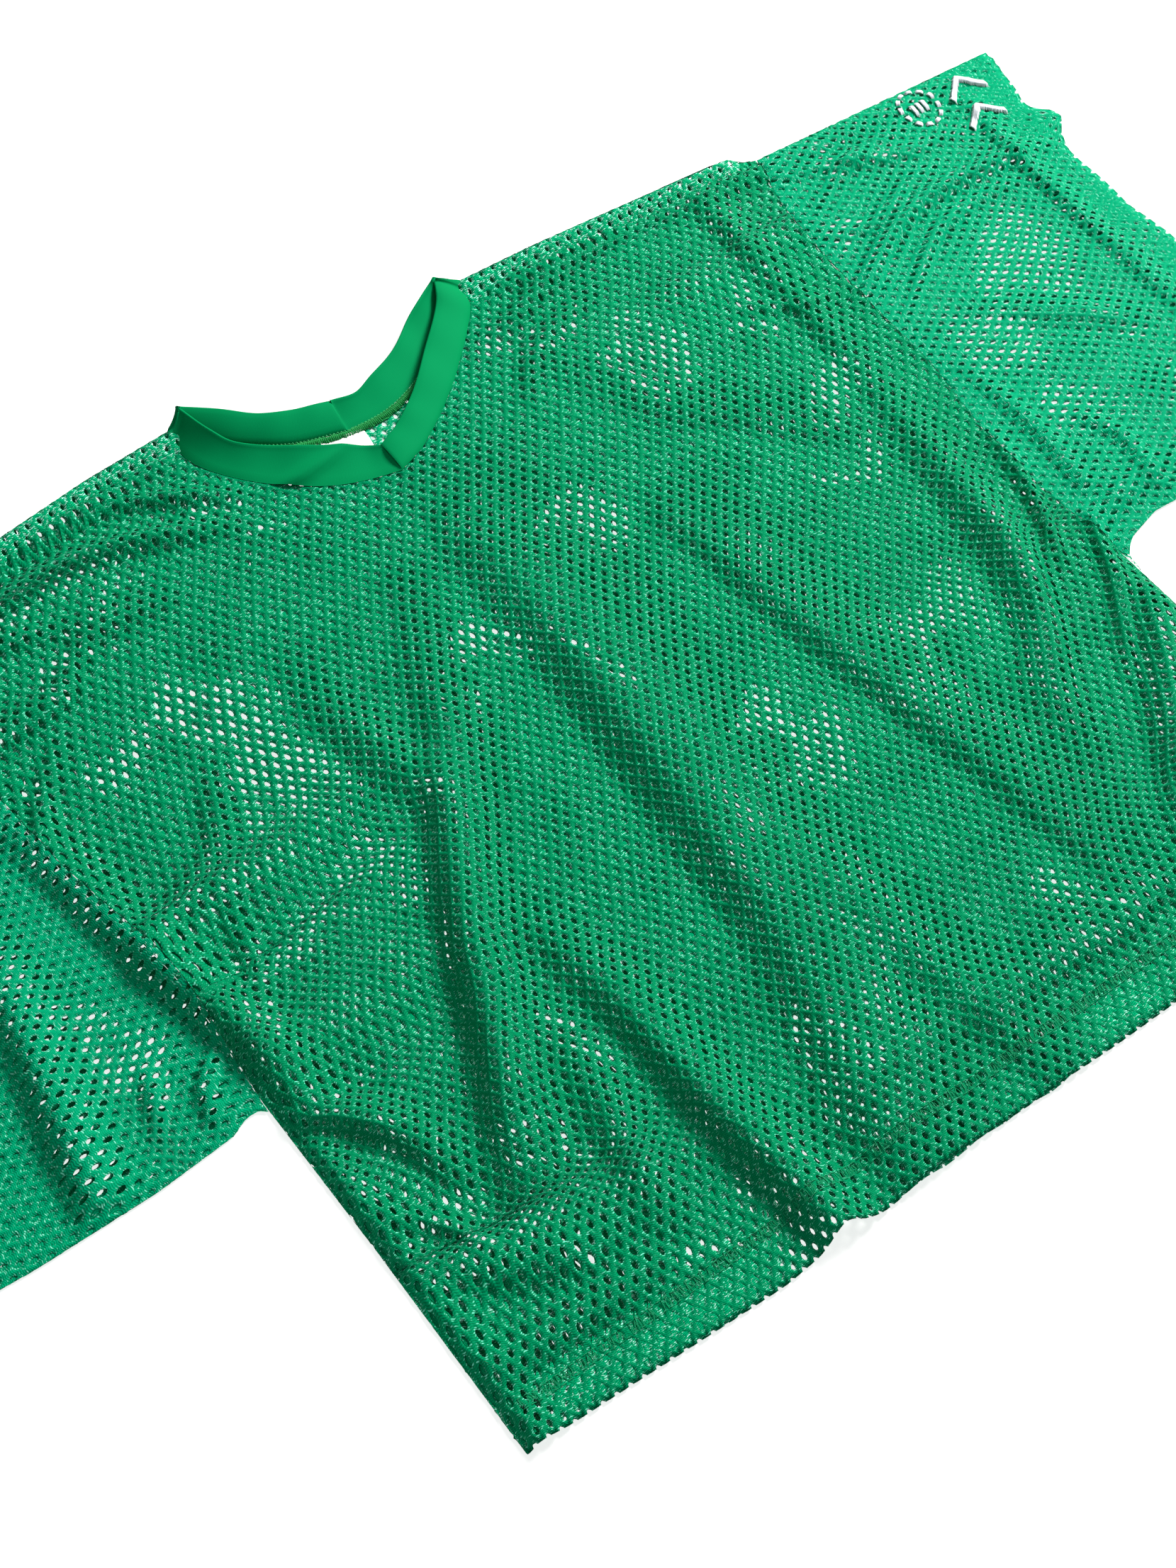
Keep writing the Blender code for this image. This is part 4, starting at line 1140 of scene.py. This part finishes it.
def satin_material(name):
    """Woven satin of the label: long floats across, faint warp lines, painted shade where they sink, and slight
    yellowing.
    """
    nodes = Nodes(name)
    vector, across, _ = nodes.fabric()
    floats = nodes.noise(nodes.stretched(vector, (400.0, 4500.0, 1.0)), 1.0, 1.0)
    warp = nodes.wave(across, 0.00045)
    relief = nodes.math("MULTIPLY_ADD", warp, 0.3, floats)
    age = nodes.spread(nodes.noise(vector, 90.0, 3.0), 0.35, 0.75)
    # Painted shade: greyer where the floats and warp lines sink.
    base = nodes.blend(nodes.spread(relief, 0.3, 1.0), (0.72, 0.74, 0.73), (0.93, 0.93, 0.92))
    base = nodes.blend(nodes.math("MULTIPLY", age, 0.25), base, (0.86, 0.83, 0.74))
    nodes.bump(relief, 0.00006, 0.7)
    return nodes.finish(base, 0.38, specular=0.5)


SEAM_THREAD = thread_material("seam_thread", (0.0, 0.42, 0.17), (0.0, 0.25, 0.095))
OVERLOCK_THREAD = thread_material("overlock_thread", (0.006, 0.38, 0.080), (0.0, 0.22, 0.042))
PALE_THREAD = thread_material("pale_thread", (0.05, 0.52, 0.18), (0.01, 0.36, 0.10))
WHITE_THREAD = thread_material("white_thread", (0.90, 0.93, 0.97), (0.66, 0.72, 0.78), 0.0009)
LABEL_SATIN = satin_material("label_satin")


def under_front(points):
    """Height just under the front layer."""
    return np.maximum(front_height(points) - TAPE_DROP, BACK_TOP * 0.6)


for side, word in ((1, "left"), (-1, "right")):
    armhole_edge = ARMHOLE_SEAM * (side, 1.0)
    side_edge = np.vstack([SIDE[side][0] + np.array([0.0, HEM_CLEAR]), SIDE[side][1:]])
    underarm_edge = UNDERARM[side][1:]
    inward = TAPE_REACH[::side]
    tape("seam_edges_" + word, [armhole_edge, side_edge], inward, under_front, BODY_KNIT,
         71 + side)
    tape("underarm_edge_" + word, [underarm_edge], inward, under_front, SLEEVE_KNIT, 81 + side)


def hem_stitches(name, height, seed):
    """Coverstitch of a hem: two rows of needle thread, with fuzzy looper thread between them."""
    rng = np.random.default_rng(seed)
    line = HEM_Y + STITCH_ROW
    paths = []
    count = int(2 * (SIDE_X - STITCH_INSET) / LOOP_STEP)
    for k in range(count):
        if rng.uniform() < LOOPS_MISSING:
            continue
        x = -SIDE_X + STITCH_INSET + k * LOOP_STEP
        wide = STITCH_WIDTH / 2 * rng.uniform(0.6, 1.3)
        spots = np.array([(x, line - wide), (x + 0.3 * LOOP_STEP, line - 0.3 * wide),
                          (x + 0.5 * LOOP_STEP, line + wide), (x + 0.8 * LOOP_STEP, line + 0.2 * wide),
                          (x + LOOP_STEP, line - wide)]) + rng.normal(0, 0.0005, (5, 2))
        rise = np.array([0.0, 0.0004, 0.0, 0.0005, 0.0])
        paths.append(np.column_stack([spots, height(spots) + STITCH_LIFT + rise]))
    for row in (-0.5, 0.5):
        for k in range(0, count, 2):
            x = -SIDE_X + STITCH_INSET + k * LOOP_STEP
            spots = np.array([(x + d * LOOP_STEP, line + row * STITCH_WIDTH) for d in (0.0, 0.4, 1.1, 1.6)])
            rise = np.array([-0.0003, 0.0004, 0.0004, -0.0003])
            paths.append(np.column_stack([spots, height(spots) + STITCH_LIFT + rise]))
    threads(name, paths, STITCH_RADIUS, SEAM_THREAD, sides=4)


hem_stitches("hem_stitch_front", front_height, 51)
hem_stitches("hem_stitch_back", back_height, 52)


def neck_overlock():
    """Overlocked edge under the back of the neckband, pressed down on the back panel."""
    rng = np.random.default_rng(61)
    seam = np.vstack([curve_through(NECK_BACK_RIGHT)[:, :2], curve_through(NECK_BACK_LEFT)[-2::-1, :2]])
    middle, way = even_line(seam, OVERLOCK_STEP)
    down = np.column_stack([way[:, 1], -way[:, 0]])
    loops, dots = [], []
    for k in range(len(middle) - 1):
        lean = rng.normal(0, 0.00015)
        top = middle[k] + down[k] * 0.0006
        foot = middle[k] + down[k] * (OVERLOCK_WIDTH + rng.normal(0, 0.0003)) + way[k] * (0.0004 + lean)
        half = (top + foot) / 2
        loops.append([(*top, 0.0030), (*half, 0.0034), (*foot, 0.0022),
                      (*(foot + way[k] * 0.0003), 0.0019), (*(half + way[k] * 0.0005), 0.0029)])
        if k % 2 == 0:
            start = middle[k] + down[k] * 0.0010
            dots.append([(*start, 0.0033), (*(start + way[k] * 0.0007), 0.0038),
                         (*(start + way[k] * 0.0014), 0.0033)])
    tape("neck_overlock_edge", [seam], (-0.0004, OVERLOCK_WIDTH), lambda p: np.full(len(p), OVERLOCK_TOP),
         OVERLOCK_THREAD, 62)
    threads("neck_overlock", loops, OVERLOCK_RADIUS, OVERLOCK_THREAD, sides=4)
    threads("neck_overlock_chain", dots, CHAIN_RADIUS, PALE_THREAD, sides=4)


neck_overlock()

# The label's flat size, its top right corner, and its turn, as in its construction.
LABEL_SIZE = (0.038, 0.025)
LABEL_TOP_RIGHT = (0.0, 0.0388)
LABEL_TURN = math.radians(-13.0)
LABEL_GRID = (24, 16)             # points across and down
LABEL_BOW = 0.0012                # how far its sides bow out
LABEL_CURL = 0.0011               # how far its lower corners rise
LABEL_WAVE = 0.0002               # height of its faint waves, and how far it starts below the solid's top
LABEL_WALL = 0.0004
LABEL_MAPS_APART = 0.045          # from the flat place of its upper side to its lower side's


def neck_label():
    """A woven label, sewn down along its top edge, with its lower corners a little curled."""
    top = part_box("neck_label")[1].z
    columns, rows = LABEL_GRID
    u, v = np.meshgrid(np.linspace(0, 1, columns), np.linspace(0, 1, rows))
    across = np.array([math.cos(LABEL_TURN), math.sin(LABEL_TURN)])
    down = np.array([across[1], -across[0]])
    corner = np.array(LABEL_TOP_RIGHT)
    bow = LABEL_BOW * np.sin(math.pi * v)
    plan = (corner + across * (-(1 - u) * LABEL_SIZE[0])[..., None] + down * (v * LABEL_SIZE[1])[..., None]
            + across * (bow * (2 * u - 1))[..., None])
    lift = LABEL_CURL * v ** 2 * (2 * u - 1) ** 2 + LABEL_WAVE * np.sin(9 * u + 4 * v)
    upper = np.column_stack([plan.reshape(-1, 2), (top - LABEL_WAVE + lift).ravel()])
    lower = upper - (0.0, 0.0, LABEL_WALL)
    size = rows * columns
    both = np.hstack([grid_quads(rows, columns, flip=True), size + grid_quads(rows, columns)])
    rim = ([(0, c) for c in range(columns)] + [(r, columns - 1) for r in range(1, rows)]
           + [(rows - 1, c) for c in range(columns - 2, -1, -1)] + [(r, 0) for r in range(rows - 2, 0, -1)])
    rim = [r * columns + c for r, c in rim]
    edge = [(a, b, size + b, size + a) for a, b in zip(rim, rim[1:] + rim[:1])]
    faces = np.vstack([both.reshape(-1, 4), edge])
    flat = np.column_stack([(u * LABEL_SIZE[0]).ravel(), (-v * LABEL_SIZE[1]).ravel()])
    flat = np.vstack([flat, flat + (LABEL_MAPS_APART, 0.0)])
    piece = add_mesh("label", [(np.vstack([upper, lower]), faces, flat, np.zeros(2 * size))], LABEL_SATIN)
    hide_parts("neck_label")
    return piece


label = neck_label()

# Needlework on the left sleeve, white: a ring of running stitches around short bars, and two chevrons.
RING_PLACE, RING_REACH, RING_STITCHES = (0.4335, 0.0450), (0.0125, 0.0150), 12
RING_BARS = (-0.0042, 0.0, 0.0042)
BAR_REACH = 0.0044
CHEVRONS = (((0.4550, 0.0370), (0.4685, 0.0500), (0.4820, 0.0370)),
            ((0.4490, 0.0120), (0.4625, 0.0235), (0.4760, 0.0120)))
CHEVRON_WIDTH = 0.0062
CHEVRON_STEP = 0.00075
NEEDLE_STRANDS = (-0.0008, 0.0, 0.0008)    # places of the strands that lie side by side
NEEDLE_RADIUS = 0.00060


def needlework():
    """The stitches on the left sleeve, each a short thread with its ends down in the cloth."""
    rng = np.random.default_rng(91)
    paths = []

    def lay(spots, lift):
        spots = np.array(spots, float)
        rise = np.array([-0.0004] + [lift] * (len(spots) - 2) + [-0.0004])
        paths.append(np.column_stack([spots, front_height(spots) + rise]))

    for k in range(RING_STITCHES):
        start, end = (2 * math.pi * (k + share) / RING_STITCHES for share in (0.12, 0.80))
        for strand in NEEDLE_STRANDS:
            turns = np.linspace(start, end, 5)
            reach = np.array(RING_REACH) + strand
            lay(np.array(RING_PLACE) + np.column_stack([np.cos(turns), np.sin(turns)]) * reach
                + rng.normal(0, 0.00008, (5, 2)), 0.0007)
    for bar in RING_BARS:
        for strand in NEEDLE_STRANDS:
            across = np.full(5, RING_PLACE[0] + bar + strand)
            lay(np.column_stack([across, RING_PLACE[1] + np.linspace(-BAR_REACH, BAR_REACH, 5)]), 0.0010)
    for line in CHEVRONS:
        for spot in even_line(line, CHEVRON_STEP)[0]:
            wide = CHEVRON_WIDTH / 2 * rng.uniform(0.88, 1.08)
            slant = rng.normal(0, 0.0003)
            shares = np.linspace(-1, 1, 5)
            lay(np.column_stack([spot[0] + slant * shares, spot[1] + wide * shares]), 0.0014)
    threads("needlework", paths, NEEDLE_RADIUS, WHITE_THREAD)


needlework()

# ---------------- scene

CAMERA_PLACE = (-0.6434, -0.9052, 1.3609)
CAMERA_HEADING = math.atan2(0.749, 0.663)      # the way it looks, seen from above
CAMERA_DIP = math.radians(56.474)
CAMERA_ROLL = math.radians(4.15)
LENS = 70.26


def add_camera():
    """The photograph's camera: its place, where it looks, and how it is rolled."""
    data = bpy.data.cameras.new("camera")
    data.lens = LENS
    camera = add_object("camera", data)
    heading = Vector((math.cos(CAMERA_HEADING), math.sin(CAMERA_HEADING), 0))
    ahead = heading * math.cos(CAMERA_DIP) - Vector((0, 0, math.sin(CAMERA_DIP)))
    right = Vector((heading.y, -heading.x, 0))
    up = right.cross(ahead)
    rolled_right = right * math.cos(CAMERA_ROLL) + up * math.sin(CAMERA_ROLL)
    rolled_up = up * math.cos(CAMERA_ROLL) - right * math.sin(CAMERA_ROLL)
    turn = Matrix((rolled_right, rolled_up, -ahead)).transposed().to_4x4()
    camera.matrix_world = Matrix.Translation(Vector(CAMERA_PLACE) + Vector(SHIFT)) @ turn
    bpy.context.scene.camera = camera


FLOOR_REACH = 30.0                # half the width of the floor
FLOOR_DROP = 0.0002               # how far below height 0 it lies
FLOOR_GLOW = 0.78


def add_floor():
    """The plain white ground. It glows, so that it stays evenly bright."""
    nodes = Nodes("floor_white")
    spot = nodes.tree.nodes.new("ShaderNodeTexCoord")
    grain = nodes.noise(spot.outputs["Object"], 3.0, 4.0)
    nodes.finish(nodes.blend(grain, (0.33, 0.328, 0.326), (0.35, 0.35, 0.348)), 0.7, specular=0.1)
    nodes.shader.inputs["Emission Color"].default_value = (0.98, 1.0, 0.99, 1.0)
    nodes.shader.inputs["Emission Strength"].default_value = FLOOR_GLOW
    mesh = bpy.data.meshes.new("floor")
    half = FLOOR_REACH
    corners = [(-half, -half, 0), (half, -half, 0), (half, half, 0), (-half, half, 0)]
    mesh.from_pydata(corners, [], [(0, 1, 2, 3)])
    mesh.materials.append(nodes.material)
    floor = add_object("floor", mesh)
    floor.location.z = -FLOOR_DROP


def add_light(name, place, size, power, colour):
    """A square light that points at the origin."""
    data = bpy.data.lights.new(name, "AREA")
    data.size = size
    data.energy = power
    data.color = colour
    light = add_object(name, data)
    light.location = place
    light.rotation_euler = (-Vector(place)).to_track_quat("-Z", "Y").to_euler()


def add_light_and_air():
    """One window light, an even sky and the standard colour transform."""
    world = bpy.data.worlds.new("air")
    world.use_nodes = True
    world.node_tree.nodes["Background"].inputs["Color"].default_value = (0.97, 0.98, 1.0, 1.0)
    world.node_tree.nodes["Background"].inputs["Strength"].default_value = 0.34
    bpy.context.scene.world = world
    add_light("window", place=(2.3, 0.7, 1.9), size=1.0, power=165.0, colour=(1.0, 0.99, 0.97))
    bpy.context.scene.view_settings.view_transform = "Standard"


add_camera()
add_floor()
add_light_and_air()
